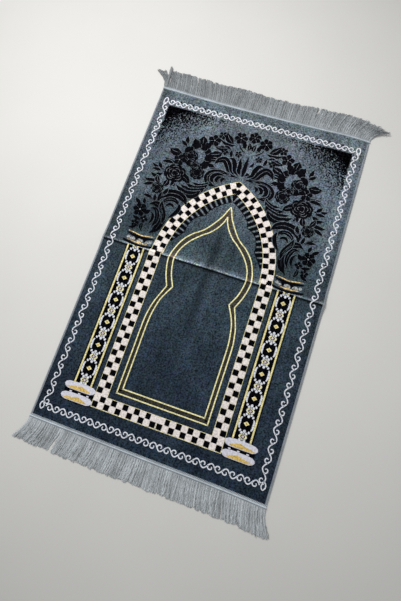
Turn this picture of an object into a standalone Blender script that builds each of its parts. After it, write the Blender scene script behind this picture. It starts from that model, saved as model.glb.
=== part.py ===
"""Prayer rug: a velvet pile cloth with a thread-wrapped edge down each side and a fringe at each end.

The rug lies flat and face up. The origin is on the floor under its middle, +Y runs to the head end
and +Z is up. Lengths are in metres and angles in degrees.
"""
import math
from collections import namedtuple

import bmesh
import bpy
import numpy as np

# Driving dimensions
HALF_WIDTH = 0.342            # middle line to the outside of a side binding, at the corners
HALF_LENGTH = 0.540           # middle line to a raw end of the cloth, near the middle of that end
THICKNESS = 0.0030            # backing and pile together
GAP = 0.0003                  # between sewn pieces
RIGHT_SWELL = 0.0025          # the right edge bows out this far at mid length

# Storage creases, which stand up as soft ridges
CREASE_Y = 0.005              # where the crosswise crease lies
CREASE_HEIGHT = 0.0045
CREASE_REACH = 0.045          # from the crease line to flat cloth
FOLD_X = -0.003               # where the lengthwise crease lies
FOLD_HEIGHT = 0.0009
FOLD_REACH = 0.030
CREASE_POWER = 1.7            # above 1, so that the flanks curve up to a sharp line

# Side bindings: thread wrapped round a thin selvedge
BINDING_WIDTH = 0.0055
WRAP_THICKNESS = 0.0006
SELVEDGE_LOW = WRAP_THICKNESS + GAP
SELVEDGE_HIGH = THICKNESS - WRAP_THICKNESS - GAP

# The mesh's lines: crosswise ones across the flat and over the crease, and lengthwise ones likewise
FLAT_ROWS = 12
FLAT_COLUMNS = 18
CREASE_LINES = (-1.0, -0.65, -0.36, -0.14, 0.0, 0.14, 0.36, 0.65, 1.0)
FOLD_LINES = (-1.0, -0.4, 0.0, 0.4, 1.0)
CLEAR_OF_CREASE = 1.3         # a flat line is left out within this many reaches of a crease

# Fringes: a heading tape with a raised cord, and bunches of strands with a step between them
BUNCHES = 66
BUNCH_SHARE = 0.84            # how much of a step is strands, and not gap
Tape = namedtuple("Tape", "out top")
TAPE = [
    Tape(out=0.0, top=0.0030),
    Tape(out=0.0050, top=0.0036),
    Tape(out=0.0120, top=0.0022),
]
TIP_HEIGHT = 0.0014

# A bunch from root to tip: place along it, share of its width kept, and share of its lean reached
Station = namedtuple("Station", "along width bend")
STATIONS = [
    Station(along=0.30, width=1.06, bend=0.55),
    Station(along=0.72, width=0.96, bend=1.00),
    Station(along=1.00, width=0.55, bend=1.15),
]
RAGGED_LEAN = 1.1             # by which neighbouring bunches differ
RAGGED_LENGTH = 0.0020

# The cloth's raw ends, which aren't quite straight: y at places across the rug
End = namedtuple("End", "across head foot")
ENDS = [
    End(across=-0.345, head=0.5460, foot=-0.5405),
    End(across=-0.200, head=0.5415, foot=-0.5425),
    End(across=0.000, head=0.5400, foot=-0.5455),
    End(across=0.180, head=0.5430, foot=-0.5470),
    End(across=0.290, head=0.5455, foot=-0.5495),
    End(across=0.345, head=0.5425, foot=-0.5515),
]

# How the strands lie: lean from straight out towards +X, strand length, and how far a tip is lifted
Lie = namedtuple("Lie", "across lean length lift")
HEAD_LIES = [
    Lie(across=-0.342, lean=-32.0, length=0.068, lift=0.0010),
    Lie(across=-0.310, lean=-14.0, length=0.067, lift=0.0),
    Lie(across=-0.220, lean=-11.0, length=0.068, lift=0.0),
    Lie(across=-0.150, lean=-9.0, length=0.066, lift=0.0),
    Lie(across=-0.080, lean=2.0, length=0.068, lift=0.0),
    Lie(across=0.020, lean=-2.0, length=0.063, lift=0.0),
    Lie(across=0.120, lean=3.0, length=0.065, lift=0.0),
    Lie(across=0.230, lean=13.0, length=0.069, lift=0.0),
    Lie(across=0.290, lean=22.0, length=0.068, lift=0.0010),
    Lie(across=0.342, lean=50.0, length=0.064, lift=0.0050),
]
FOOT_LIES = [
    Lie(across=-0.342, lean=-19.0, length=0.066, lift=0.0010),
    Lie(across=-0.280, lean=-12.0, length=0.067, lift=0.0),
    Lie(across=-0.160, lean=-10.0, length=0.067, lift=0.0),
    Lie(across=-0.040, lean=-3.0, length=0.066, lift=0.0),
    Lie(across=0.080, lean=4.0, length=0.065, lift=0.0),
    Lie(across=0.200, lean=9.0, length=0.065, lift=0.0),
    Lie(across=0.290, lean=13.0, length=0.064, lift=0.0),
    Lie(across=0.342, lean=20.0, length=0.060, lift=0.0010),
]

# Colours, as linear red, green and blue
PILE_COLOUR = (0.045, 0.070, 0.095)
THREAD_COLOUR = (0.330, 0.360, 0.385)


def clear_scene():
    """Remove everything that a new file holds."""
    for thing in list(bpy.data.objects):
        bpy.data.objects.remove(thing, do_unlink=True)


def make_material(name, colour, roughness):
    """A plain finish for one sub-part."""
    material = bpy.data.materials.new(name)
    material.use_nodes = True
    shader = material.node_tree.nodes["Principled BSDF"]
    shader.inputs["Base Color"].default_value = (*colour, 1.0)
    shader.inputs["Roughness"].default_value = roughness
    shader.inputs["Metallic"].default_value = 0.0
    return material


def new_object(name, bm, material, collection):
    """Turn a finished bmesh into an object, with all its faces pointing out."""
    bmesh.ops.recalc_face_normals(bm, faces=bm.faces)
    mesh = bpy.data.meshes.new(name)
    bm.to_mesh(mesh)
    bm.free()
    mesh.materials.append(material)
    thing = bpy.data.objects.new(name, mesh)
    collection.objects.link(thing)
    return thing


def read_table(rows, column, place):
    """A column's value at a place across the rug, on a smooth curve through the table's rows."""
    keys = np.array([row.across for row in rows])
    values = np.array([getattr(row, column) for row in rows])
    slopes = np.gradient(values, keys)
    first = int(np.clip(np.searchsorted(keys, place) - 1, 0, len(keys) - 2))
    step = keys[first + 1] - keys[first]
    t = float(np.clip((place - keys[first]) / step, 0.0, 1.0))
    start = (1 + 2 * t) * (1 - t) ** 2 * values[first] + t * (1 - t) ** 2 * step * slopes[first]
    end = t * t * (3 - 2 * t) * values[first + 1] - t * t * (1 - t) * step * slopes[first + 1]
    return float(start + end)


def side_x(side, y):
    """The outside of the binding on one side, -1 for left and 1 for right."""
    swell = RIGHT_SWELL if side > 0 else 0.0
    return side * (HALF_WIDTH + swell * max(0.0, 1 - (y / HALF_LENGTH) ** 2))


def ridge(distance, height, reach):
    """Height of a soft ridge at a distance from its line."""
    return height * max(0.0, 1 - abs(distance) / reach) ** CREASE_POWER


def crease_lift(x, y):
    """How far the cloth stands off the floor: the crosswise crease and the fainter lengthwise one."""
    crosswise = ridge(y - CREASE_Y, CREASE_HEIGHT, CREASE_REACH)
    lengthwise = ridge(x - FOLD_X, FOLD_HEIGHT, FOLD_REACH) * max(0.0, 1 - (y / HALF_LENGTH) ** 2)
    return max(crosswise, lengthwise)


def mesh_lines(flat_count, crease_lines, crease, reach, half):
    """Places from -1 to 1: even ones over flat cloth, and close ones over a crease."""
    near = [(crease + reach * line) / half for line in crease_lines]
    even = [2 * k / flat_count - 1 for k in range(flat_count + 1)]
    far = [place for place in even if abs(place * half - crease) > CLEAR_OF_CREASE * reach]
    return sorted(near + far)


def row_y(row, x):
    """y of a crosswise line, -1 at the foot and 1 at the head, bent to follow the nearer raw end."""
    side = "head" if row > 0 else "foot"
    bend = read_table(ENDS, side, x) - math.copysign(HALF_LENGTH, row)
    return row * HALF_LENGTH + bend * row ** 4


def outline_of(cells):
    """The sides that only one of a section's cells has."""
    sides = [side for cell in cells for side in zip(cell, cell[1:] + cell[:1])]
    return [side for side in sides if side[::-1] not in sides]


def loft(sections, cells):
    """A closed solid through sections that have the same points. Its ends are the section's cells."""
    bm = bmesh.new()
    rings = [[bm.verts.new(point) for point in section] for section in sections]
    for ring in (rings[0], rings[-1]):
        for cell in cells:
            bm.faces.new([ring[corner] for corner in cell])
    for near, far in zip(rings, rings[1:]):
        for start, end in outline_of(cells):
            bm.faces.new((near[start], near[end], far[end], far[start]))
    return bm


def cloth_section(row, columns):
    """A crosswise section of the cloth: its underside, its top, then each selvedge's four points."""
    under, over, selvedges = [], [], []
    for column in columns:
        side = math.copysign(1, column)
        edge = abs(side_x(side, row * HALF_LENGTH)) - BINDING_WIDTH - GAP
        x = column * edge
        y = row_y(row, x)
        under.append((x, y, crease_lift(x, y)))
        over.append((x, y, crease_lift(x, y) + THICKNESS))
    for inner, _, lift in (under[0], under[-1]):
        rim = inner + math.copysign(BINDING_WIDTH - WRAP_THICKNESS, inner)
        for x in (inner, rim):
            y = row_y(row, x)
            selvedges += [(x, y, lift + SELVEDGE_LOW), (x, y, lift + SELVEDGE_HIGH)]
    return under + over + selvedges


def cloth_cells(count):
    """The cells of a cloth section with this many columns, each taken the same way round."""
    last = count - 1
    cells = [(k, k + 1, count + k + 1, count + k) for k in range(1, last - 1)]
    low, high, rim_low, rim_high = range(2 * count, 2 * count + 4)
    cells.append((0, 1, count + 1, count, high, low))
    cells.append((rim_low, low, high, rim_high))
    low, high, rim_low, rim_high = range(2 * count + 4, 2 * count + 8)
    cells.append((last - 1, last, low, high, count + last, count + last - 1))
    cells.append((low, rim_low, rim_high, high))
    return cells


def make_pile_cloth(collection):
    """The velvet sheet, from foot to head over its creases, with a thin selvedge down each side."""
    body = HALF_WIDTH - BINDING_WIDTH - GAP
    columns = mesh_lines(FLAT_COLUMNS, FOLD_LINES, FOLD_X, FOLD_REACH, body)
    sections = [cloth_section(row, columns) for row in rug_rows()]
    bm = loft(sections, cloth_cells(len(columns)))
    return new_object("pile_cloth", bm, make_material("pile_velvet", PILE_COLOUR, 0.9), collection)


def rug_rows():
    """The crosswise lines that the cloth and the bindings share."""
    return mesh_lines(FLAT_ROWS, CREASE_LINES, CREASE_Y, CREASE_REACH, HALF_LENGTH)


def binding_section(side, row):
    """A section of one binding: a channel, open towards the cloth, round the selvedge."""
    outer = abs(side_x(side, row * HALF_LENGTH))
    inner = outer - BINDING_WIDTH
    wall = outer - WRAP_THICKNESS
    lift = crease_lift(side * inner, row_y(row, side * inner))
    ceiling = THICKNESS - WRAP_THICKNESS
    profile = [
        (inner, 0.0),
        (outer, 0.0),
        (outer, THICKNESS),
        (inner, THICKNESS),
        (inner, ceiling),
        (wall, ceiling),
        (wall, WRAP_THICKNESS),
        (inner, WRAP_THICKNESS),
    ]
    return [(side * x, row_y(row, side * x), z + lift) for x, z in profile]


def make_binding(name, side, collection):
    """The thread wrapped over one side edge, following the cloth's creases."""
    sections = [binding_section(side, row) for row in rug_rows()]
    bm = loft(sections, [tuple(range(len(sections[0])))])
    return new_object(name, bm, make_material(name + "_thread", THREAD_COLOUR, 0.8), collection)


def tape_places():
    """Where the bunches' left and right sides stand across the tape, in order."""
    step = 2 * HALF_WIDTH / (BUNCHES - 1 + BUNCH_SHARE)
    lefts = [step * k - HALF_WIDTH for k in range(BUNCHES)]
    return [place for left in lefts for place in (left, left + BUNCH_SHARE * step)]


def make_tape(bm, end, side):
    """The heading tape's top, and its outer edge at each bunch, from left to right."""
    places = tape_places()
    columns = len(places) - 1
    rows = len(TAPE) - 1
    grid = bmesh.ops.create_grid(bm, x_segments=columns, y_segments=rows, size=0.5)["verts"]
    outer = {}
    for vert in grid:
        column = round((vert.co.x + 0.5) * columns)
        row = round((vert.co.y + 0.5) * rows)
        x = places[column]
        y = read_table(ENDS, side, x) + end * (GAP + TAPE[row].out)
        vert.co = (x, y, TAPE[row].top)
        if row == rows:
            outer[column] = vert
    return [bm.edges.get((outer[k], outer[k + 1])) for k in range(0, columns, 2)]


def grow_bunch(bm, edge, end, lie, underside):
    """Draw one bunch of strands out of the tape's edge, bending it over as it goes."""
    root_left, root_right = sorted((vert.co for vert in edge.verts), key=lambda point: point.x)
    half = (root_right - root_left).length / 2
    centre = (root_left + root_right) / 2
    done = 0.0
    for station in STATIONS:
        angle = math.radians(lie.lean * station.bend)
        reach = (station.along - done) * lie.length
        done = station.along
        centre.x += reach * math.sin(angle)
        centre.y += reach * math.cos(angle) * end
        low = lie.lift * done ** 2
        top = low + TAPE[-1].top + (TIP_HEIGHT - TAPE[-1].top) * done
        grown = bmesh.ops.extrude_edge_only(bm, edges=[edge])["geom"]
        verts = sorted((g for g in grown if isinstance(g, bmesh.types.BMVert)), key=lambda v: v.co.x)
        for vert, way in zip(verts, (-1, 1)):
            across = way * half * station.width
            x = centre.x + across * math.cos(angle)
            y = centre.y - across * math.sin(angle) * end
            vert.co = (x, y, top)
            vert[underside] = low
        edge = bm.edges.get(verts)


def bunch_lie(lies, x, number):
    """How one bunch lies: what the table says there, and a ragged difference from its neighbours."""
    lean = read_table(lies, "lean", x) + RAGGED_LEAN * math.sin(2.3 * number) * math.cos(0.9 * number)
    length = read_table(lies, "length", x) + RAGGED_LENGTH * math.sin(1.7 * number)
    lift = max(0.0, read_table(lies, "lift", x))
    return Lie(across=x, lean=lean, length=length, lift=lift)


def make_fringe(name, end, side, lies, collection):
    """A fringe as one comb: the top is drawn out flat, then given its underside."""
    bm = bmesh.new()
    underside = bm.verts.layers.float.new("underside")
    for number, edge in enumerate(make_tape(bm, end, side)):
        x = (edge.verts[0].co.x + edge.verts[1].co.x) / 2
        grow_bunch(bm, edge, end, bunch_lie(lies, x, number), underside)
    grown = bmesh.ops.extrude_face_region(bm, geom=bm.faces[:])["geom"]
    for vert in grown:
        if isinstance(vert, bmesh.types.BMVert):
            vert.co.z = vert[underside]
    return new_object(name, bm, make_material(name + "_yarn", THREAD_COLOUR, 0.85), collection)


def build():
    """Make the whole rug in its own collection."""
    clear_scene()
    rug = bpy.data.collections.new("prayer_rug")
    bpy.context.scene.collection.children.link(rug)
    make_pile_cloth(rug)
    make_binding("side_binding_left", -1, rug)
    make_binding("side_binding_right", 1, rug)
    make_fringe("fringe_head", 1, "head", HEAD_LIES, rug)
    make_fringe("fringe_foot", -1, "foot", FOOT_LIES, rug)


build()
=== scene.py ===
import math
import random
from collections import namedtuple

import bmesh
import bpy
import numpy as np
from mathutils import Matrix, Vector


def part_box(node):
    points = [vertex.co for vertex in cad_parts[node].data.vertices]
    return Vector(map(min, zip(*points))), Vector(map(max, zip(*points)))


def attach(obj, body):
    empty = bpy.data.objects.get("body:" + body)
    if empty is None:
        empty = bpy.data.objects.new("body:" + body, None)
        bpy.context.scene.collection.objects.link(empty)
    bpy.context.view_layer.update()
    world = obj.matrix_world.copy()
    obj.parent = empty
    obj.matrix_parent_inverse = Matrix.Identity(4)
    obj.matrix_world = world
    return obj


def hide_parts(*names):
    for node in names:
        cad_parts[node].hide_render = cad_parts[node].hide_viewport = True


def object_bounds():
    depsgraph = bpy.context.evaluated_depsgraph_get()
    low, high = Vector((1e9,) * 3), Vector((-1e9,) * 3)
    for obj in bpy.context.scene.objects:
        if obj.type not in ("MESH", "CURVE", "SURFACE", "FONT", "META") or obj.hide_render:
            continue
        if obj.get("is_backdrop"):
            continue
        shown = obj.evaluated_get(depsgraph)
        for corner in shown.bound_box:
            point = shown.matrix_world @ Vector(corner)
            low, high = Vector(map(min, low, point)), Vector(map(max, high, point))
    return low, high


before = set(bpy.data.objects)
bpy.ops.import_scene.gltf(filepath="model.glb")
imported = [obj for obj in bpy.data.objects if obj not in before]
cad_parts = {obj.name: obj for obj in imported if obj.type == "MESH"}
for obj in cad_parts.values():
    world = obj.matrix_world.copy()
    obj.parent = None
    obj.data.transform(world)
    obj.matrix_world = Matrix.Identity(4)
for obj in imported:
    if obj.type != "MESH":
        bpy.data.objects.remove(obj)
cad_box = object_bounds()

# ------------------------------------------------------------------ the cloth's own sizes, in metres
MM = 0.001
HALF_WIDTH = -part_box("side_binding_left")[0][0]
HALF_LENGTH = 0.540
THICKNESS = 0.0030
RIGHT_SWELL = 0.0025
CREASE_Y = 0.005
CREASE_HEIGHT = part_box("pile_cloth")[1][2] - THICKNESS
CREASE_REACH = 0.045
FOLD_X = -0.003
FOLD_HEIGHT = 0.0009
FOLD_REACH = 0.030
CREASE_POWER = 1.7
PINCH_HEIGHT = 0.0007         # the crosswise crease comes to a narrow edge
PINCH_REACH = 0.006

End = namedtuple("End", "across head foot")
ENDS = [
    End(-0.345, head=0.5460, foot=-0.5405),
    End(-0.200, head=0.5415, foot=-0.5425),
    End(0.000, head=0.5400, foot=-0.5455),
    End(0.180, head=0.5430, foot=-0.5470),
    End(0.290, head=0.5455, foot=-0.5495),
    End(0.345, head=0.5425, foot=-0.5515),
]

Lie = namedtuple("Lie", "across lean length lift", defaults=[0.0])
HEAD_LIES = [
    Lie(-0.342, lean=-32.0, length=0.068, lift=0.0010),
    Lie(-0.310, lean=-14.0, length=0.067),
    Lie(-0.220, lean=-11.0, length=0.068),
    Lie(-0.150, lean=-9.0, length=0.066),
    Lie(-0.080, lean=2.0, length=0.068),
    Lie(0.020, lean=-2.0, length=0.063),
    Lie(0.120, lean=3.0, length=0.065),
    Lie(0.230, lean=13.0, length=0.069),
    Lie(0.290, lean=22.0, length=0.068, lift=0.0010),
    Lie(0.342, lean=50.0, length=0.064, lift=0.0050),
]
FOOT_LIES = [
    Lie(-0.342, lean=-19.0, length=0.066, lift=0.0010),
    Lie(-0.280, lean=-12.0, length=0.067),
    Lie(-0.160, lean=-10.0, length=0.067),
    Lie(-0.040, lean=-3.0, length=0.066),
    Lie(0.080, lean=4.0, length=0.065),
    Lie(0.200, lean=9.0, length=0.065),
    Lie(0.290, lean=13.0, length=0.067),
    Lie(0.342, lean=20.0, length=0.073, lift=0.0010),
]


def read_table(rows, column, place):
    """A column's values at places across the rug, on a smooth curve through the table's rows."""
    keys = np.array([row.across for row in rows])
    values = np.array([getattr(row, column) for row in rows])
    slopes = np.gradient(values, keys)
    place = np.asarray(place, float)
    first = np.clip(np.searchsorted(keys, place) - 1, 0, len(keys) - 2)
    step = keys[first + 1] - keys[first]
    t = np.clip((place - keys[first]) / step, 0.0, 1.0)
    start = (1 + 2 * t) * (1 - t) ** 2 * values[first] + t * (1 - t) ** 2 * step * slopes[first]
    end = t * t * (3 - 2 * t) * values[first + 1] - t * t * (1 - t) * step * slopes[first + 1]
    return start + end


def ridge(distance, height, reach):
    """Height of a soft ridge at a distance from its line."""
    return height * np.maximum(0.0, 1 - np.abs(distance) / reach) ** CREASE_POWER


def lift(x, y):
    """How far the cloth stands off the floor, over its two storage creases."""
    crosswise = ridge(y - CREASE_Y, CREASE_HEIGHT, CREASE_REACH)
    crosswise += ridge(y - CREASE_Y, PINCH_HEIGHT, PINCH_REACH)
    lengthwise = ridge(x - FOLD_X, FOLD_HEIGHT, FOLD_REACH)
    lengthwise = lengthwise * np.maximum(0.0, 1 - (y / HALF_LENGTH) ** 2)
    return np.maximum(crosswise, lengthwise)


def end_y(column, x):
    """Where the cloth ends at its head or foot, at places across it."""
    return read_table(ENDS, column, x)


def side_x(side, y):
    """The outside of a side binding, -1 for left and 1 for right."""
    swell = RIGHT_SWELL if side > 0 else 0.0
    return side * (HALF_WIDTH + swell * np.maximum(0.0, 1 - (np.asarray(y) / HALF_LENGTH) ** 2))


# ------------------------------------------------------------------ nodes for the finishes
def add_node(tree, kind, settings=(), **inputs):
    """A node with its settings and inputs. An input that is a socket is linked."""
    made = tree.nodes.new("ShaderNode" + kind)
    for name, value in dict(settings).items():
        setattr(made, name, value)
    for name, value in inputs.items():
        socket = made.inputs[int(name[1:])] if name[1:].isdigit() else made.inputs[name.replace("_", " ")]
        if isinstance(value, bpy.types.NodeSocket):
            tree.links.new(value, socket)
        else:
            socket.default_value = value
    return made


def calculate(tree, operation, first, second=0.5):
    """The result of one Math node."""
    return add_node(tree, "Math", {"operation": operation}, i0=first, i1=second).outputs[0]


def multiply(tree, *factors):
    """The product of several values."""
    product = factors[0]
    for factor in factors[1:]:
        product = calculate(tree, "MULTIPLY", product, factor)
    return product


def remap(tree, value, low, high, to_low=0.0, to_high=1.0):
    """A value moved from one span to another, and held at its ends."""
    span = {"From_Min": low, "From_Max": high, "To_Min": to_low, "To_Max": to_high}
    return add_node(tree, "MapRange", Value=value, **span).outputs[0]


def blend(tree, share, first, second):
    """A value between two others."""
    return add_node(tree, "Mix", {"data_type": "FLOAT"}, i0=share, i2=first, i3=second).outputs[0]


def uneven(tree, place, low, high, scale, detail, roughness=0.5):
    """A factor that wanders between low and high over the cloth."""
    noise = add_node(tree, "TexNoise", Vector=place, Scale=scale, Detail=detail, Roughness=roughness)
    return remap(tree, noise.outputs["Fac"], 0.30, 0.70, low, high)


def draw_out(tree, place, along):
    """Places squeezed along the rug, so that a pattern on them is drawn out lengthwise."""
    return add_node(tree, "Mapping", Vector=place, Scale=(1.0, along, 1.0)).outputs[0]


def shade_colour(tree, colour, tone):
    """A colour made lighter or darker by a factor."""
    return add_node(tree, "VectorMath", {"operation": "SCALE"}, i0=colour, Scale=tone).outputs[0]


def multiply_colours(tree, first, second):
    """The product of two colours."""
    return add_node(tree, "VectorMath", {"operation": "MULTIPLY"}, i0=first, i1=second).outputs[0]


def new_group(name, inputs, outputs):
    """A node group with named inputs (name, kind, value) and outputs (name, kind)."""
    group = bpy.data.node_groups.new(name, "ShaderNodeTree")
    for label, kind, value in inputs:
        socket = group.interface.new_socket(label, in_out="INPUT", socket_type="NodeSocket" + kind)
        socket.default_value = value
    for label, kind in outputs:
        group.interface.new_socket(label, in_out="OUTPUT", socket_type="NodeSocket" + kind)
    return group, group.nodes.new("NodeGroupInput").outputs, group.nodes.new("NodeGroupOutput").inputs


# Painted sheen and painted light: how light the pile looks from foot to head, much lighter towards the head
Tone = namedtuple("Tone", "y red green blue")
PILE_SHEEN_AND_LIGHT = [
    Tone(-0.545, 0.50, 0.52, 0.62),
    Tone(-0.470, 0.50, 0.48, 0.56),
    Tone(-0.300, 0.68, 0.65, 0.72),
    Tone(-0.120, 0.96, 0.90, 0.91),
    Tone(-0.050, 0.91, 0.83, 0.81),
    Tone(-0.016, 0.93, 0.86, 0.84),
    Tone(0.024, 1.66, 1.40, 1.30),
    Tone(0.060, 1.05, 0.98, 0.88),
    Tone(0.100, 1.18, 1.02, 0.93),
    Tone(0.150, 1.85, 1.55, 1.43),
    Tone(0.200, 2.58, 2.01, 1.78),
    Tone(0.250, 2.76, 2.23, 2.03),
    Tone(0.320, 3.04, 2.32, 2.16),
    Tone(0.400, 3.28, 2.52, 2.28),
    Tone(0.480, 3.53, 2.53, 2.17),
    Tone(0.545, 3.14, 2.46, 2.09),
]
TONE_TOP = 4.0                  # a ramp holds colours up to 1, so its tones are divided by this
CREASE_SHADE_AND_HIGHLIGHT = [                # painted shade and highlight of the crosswise crease: a black painted shade in the gap of the pile, then a painted highlight on its far bank
    Tone(-0.0240, 1.00, 1.00, 1.00),
    Tone(-0.0100, 0.97, 0.97, 0.97),
    Tone(-0.0060, 0.86, 0.86, 0.86),
    Tone(-0.0030, 0.68, 0.68, 0.70),
    Tone(-0.0010, 0.32, 0.33, 0.34),
    Tone(0.0000, 0.07, 0.09, 0.10),
    Tone(0.0028, 0.04, 0.05, 0.06),
    Tone(0.0038, 0.60, 0.53, 0.50),
    Tone(0.0050, 4.00, 3.40, 3.10),
    Tone(0.0060, 7.30, 6.10, 5.40),
    Tone(0.0078, 7.20, 6.00, 5.30),
    Tone(0.0094, 4.00, 3.45, 3.20),
    Tone(0.0115, 2.60, 2.32, 2.20),
    Tone(0.0150, 1.90, 1.74, 1.68),
    Tone(0.0180, 1.56, 1.47, 1.42),
    Tone(0.0210, 1.32, 1.28, 1.25),
    Tone(0.0240, 1.10, 1.08, 1.07),
    Tone(0.0300, 1.00, 1.00, 1.00),
]
CREASE_TOP = 7.5
CREASE_SPAN = 0.030
CREASE_WANDER = 0.0025          # how far the painted shade and highlight of the crease and the painted sheen stray from straight lines
TINT_START = (0.65, 0.80, 0.65) # the least and the spread of the faint colour in the brushed pile
TINT_SPREAD = (0.70, 0.40, 0.70)


def tone_ramp(tree, rows, where, span, top):
    """The colour a table of tones gives at a place between -span and span, divided by its top."""
    ramp = add_node(tree, "ValToRGB", Fac=remap(tree, where, -span, span))
    stops = ramp.color_ramp.elements
    for row in rows[1:-1]:
        stops.new((row.y + span) / (2 * span))
    for stop, row in zip(stops, rows):
        stop.position = (row.y + span) / (2 * span)
        stop.color = (row.red / top, row.green / top, row.blue / top, 1)
    return ramp.outputs["Color"]


def paint_light_and_mottle(group, place):
    """Painted sheen, light and shade over the pile, with random mottle: a colour that lights or darkens it,
    with the painted shade and highlight of both creases in it.
    """
    split = add_node(group, "SeparateXYZ", Vector=place).outputs
    to_side = calculate(group, "ABSOLUTE", split["X"])
    to_end = calculate(group, "ABSOLUTE", split["Y"])
    wander = add_node(group, "TexNoise", Vector=place, Scale=14.0, Detail=2.0).outputs["Fac"]
    wander = remap(group, wander, 0.0, 1.0, -CREASE_WANDER, CREASE_WANDER)
    along = calculate(group, "ADD", split["Y"], wander)
    # painted sheen and painted light along the rug, lighter towards the head
    sheen_and_light = tone_ramp(group, PILE_SHEEN_AND_LIGHT, along, HALF_LENGTH + 0.010, TONE_TOP)
    # painted shade and painted highlight over the crosswise crease
    crease = tone_ramp(group, CREASE_SHADE_AND_HIGHLIGHT, along, CREASE_SPAN, CREASE_TOP)

    # painted highlight on the bank of the crosswise crease, brightest towards the left, but not at the very
    # edge
    bank_highlight = multiply(group, remap(group, along, 0.003, 0.006), remap(group, along, 0.016, 0.040, 1.0, 0.0))
    bank_highlight_side = multiply(group, remap(group, split["X"], -0.30, 0.30, 1.30, 0.54),
                         remap(group, split["X"], -0.29, -0.17, 0.30, 1.0))
    bank_highlight = blend(group, bank_highlight, 1.0, bank_highlight_side)

    # painted sheen: the head half is lighter towards the right
    upper = multiply(group, remap(group, split["Y"], 0.03, 0.12),
                     remap(group, split["Y"], 0.36, 0.46, 1.0, 0.3))
    sheen_slant = multiply(group, upper, remap(group, split["X"], -0.33, 0.33, -0.24, 0.28))
    sheen_slant = calculate(group, "ADD", sheen_slant, 1.0)

    # painted shade of the lengthwise fold: a dark line near the rug's middle, with a faint painted
    # highlight beside it, that fades out either way
    fold_shade = calculate(group, "ABSOLUTE", calculate(group, "SUBTRACT", split["X"], FOLD_X))
    fold_shade = remap(group, fold_shade, 0.004, 0.020, 0.62, 1.06)
    fold_shade = remap(group, to_end, 0.10, 0.24, fold_shade, 1.0)
    margin = remap(group, to_side, 0.316, 0.325, 1.0, 0.80)

    mottle = uneven(group, draw_out(group, place, 0.7), 0.64, 1.36, 11.0, 5.0, 0.55)
    cloud = uneven(group, place, 0.88, 1.12, 55.0, 4.0, 0.6)
    tone = multiply(group, mottle, cloud, margin, sheen_slant, fold_shade, bank_highlight, TONE_TOP * CREASE_TOP)
    light_and_mottle = shade_colour(group, multiply_colours(group, sheen_and_light, crease), tone)
    tint = add_node(group, "TexNoise", Vector=place, Scale=70.0, Detail=2.0).outputs["Color"]
    tint = add_node(group, "VectorMath", {"operation": "MULTIPLY_ADD"}, i0=tint,
                    i1=TINT_SPREAD, i2=TINT_START).outputs[0]
    return multiply_colours(group, light_and_mottle, tint)


def grain_pile(group, place, streaks, tufts):
    """The streaks along the rug and the lights and darks of its tufts, as one factor."""
    streak = uneven(group, draw_out(group, place, 0.03), 0.72, 1.28, 130.0, 6.0, 0.7)
    streak = blend(group, streaks, 1.0, streak)
    spread = multiply(group, tufts, 0.85)
    low = calculate(group, "SUBTRACT", 1.0, spread)
    high = calculate(group, "ADD", 1.0, spread)
    return multiply(group, streak, uneven(group, place, low, high, 240.0, 1.5, 0.60))


def make_nap_group():
    """Cut pile: painted sheen, light and shade with random mottle, lengthwise streaks, and the grain of the
    tufts.
    """
    group, given, result = new_group(
        "velvet_nap",
        [("Colour", "Color", (0.1, 0.1, 0.1, 1)), ("Brushed", "Float", 1.0), ("Streaks", "Float", 1.0),
         ("Tufts", "Float", 1.0)],
        [("Colour", "Color"), ("Normal", "Vector")],
    )
    place = add_node(group, "TexCoord").outputs["Object"]
    # mix in the painted sheen, light and shade and the mottle, as much as the material asks
    light_and_mottle = add_node(group, "Mix", {"data_type": "RGBA"}, i0=given["Brushed"],
                       i6=(1, 1, 1, 1), i7=paint_light_and_mottle(group, place)).outputs[2]
    colour = multiply_colours(group, given["Colour"], light_and_mottle)
    colour = shade_colour(group, colour, grain_pile(group, place, given["Streaks"], given["Tufts"]))
    group.links.new(colour, result["Colour"])
    rows = add_node(group, "TexNoise", Vector=draw_out(group, place, 0.45), Scale=900.0, Detail=1.0)
    relief = multiply(group, rows.outputs["Fac"], given["Tufts"])
    bump = add_node(group, "Bump", Strength=0.6, Distance=0.0006, Height=relief)
    group.links.new(bump.outputs[0], result["Normal"])
    return group


def make_yarn_group():
    """Spun yarn: broad soft shades and fine fluff."""
    group, given, result = new_group(
        "spun_yarn",
        [("Colour", "Color", (0.4, 0.4, 0.4, 1)), ("Shade", "Float", 1.0)],
        [("Colour", "Color"), ("Normal", "Vector")],
    )
    place = add_node(group, "TexCoord").outputs["Object"]
    broad = uneven(group, place, 0.82, 1.14, 28.0, 4.0, 0.6)
    fine = add_node(group, "TexNoise", Vector=place, Scale=420.0, Detail=3.0, Roughness=0.7).outputs["Fac"]
    tone = multiply(group, broad, remap(group, fine, 0.30, 0.70, 0.80, 1.18), given["Shade"])
    group.links.new(shade_colour(group, given["Colour"], tone), result["Colour"])
    bump = add_node(group, "Bump", Strength=0.5, Distance=0.0004, Height=fine)
    group.links.new(bump.outputs[0], result["Normal"])
    return group


def finish_material(name, group, colour, roughness, sheen=0.0, specular=0.2, **amounts):
    """A cloth finish: a group's colour and normal on a Principled shader with its own gloss."""
    material = bpy.data.materials.new(name)
    material.use_nodes = True
    tree = material.node_tree
    shader = tree.nodes["Principled BSDF"]
    look = add_node(tree, "Group", {"node_tree": group}, Colour=(*colour, 1.0), **amounts)
    tree.links.new(look.outputs["Colour"], shader.inputs["Base Color"])
    tree.links.new(look.outputs["Normal"], shader.inputs["Normal"])
    shader.inputs["Roughness"].default_value = roughness
    shader.inputs["Specular IOR Level"].default_value = specular
    shader.inputs["Sheen Weight"].default_value = sheen
    shader.inputs["Sheen Roughness"].default_value = 0.45
    return material


NAP = make_nap_group()
YARN = make_yarn_group()


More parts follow.
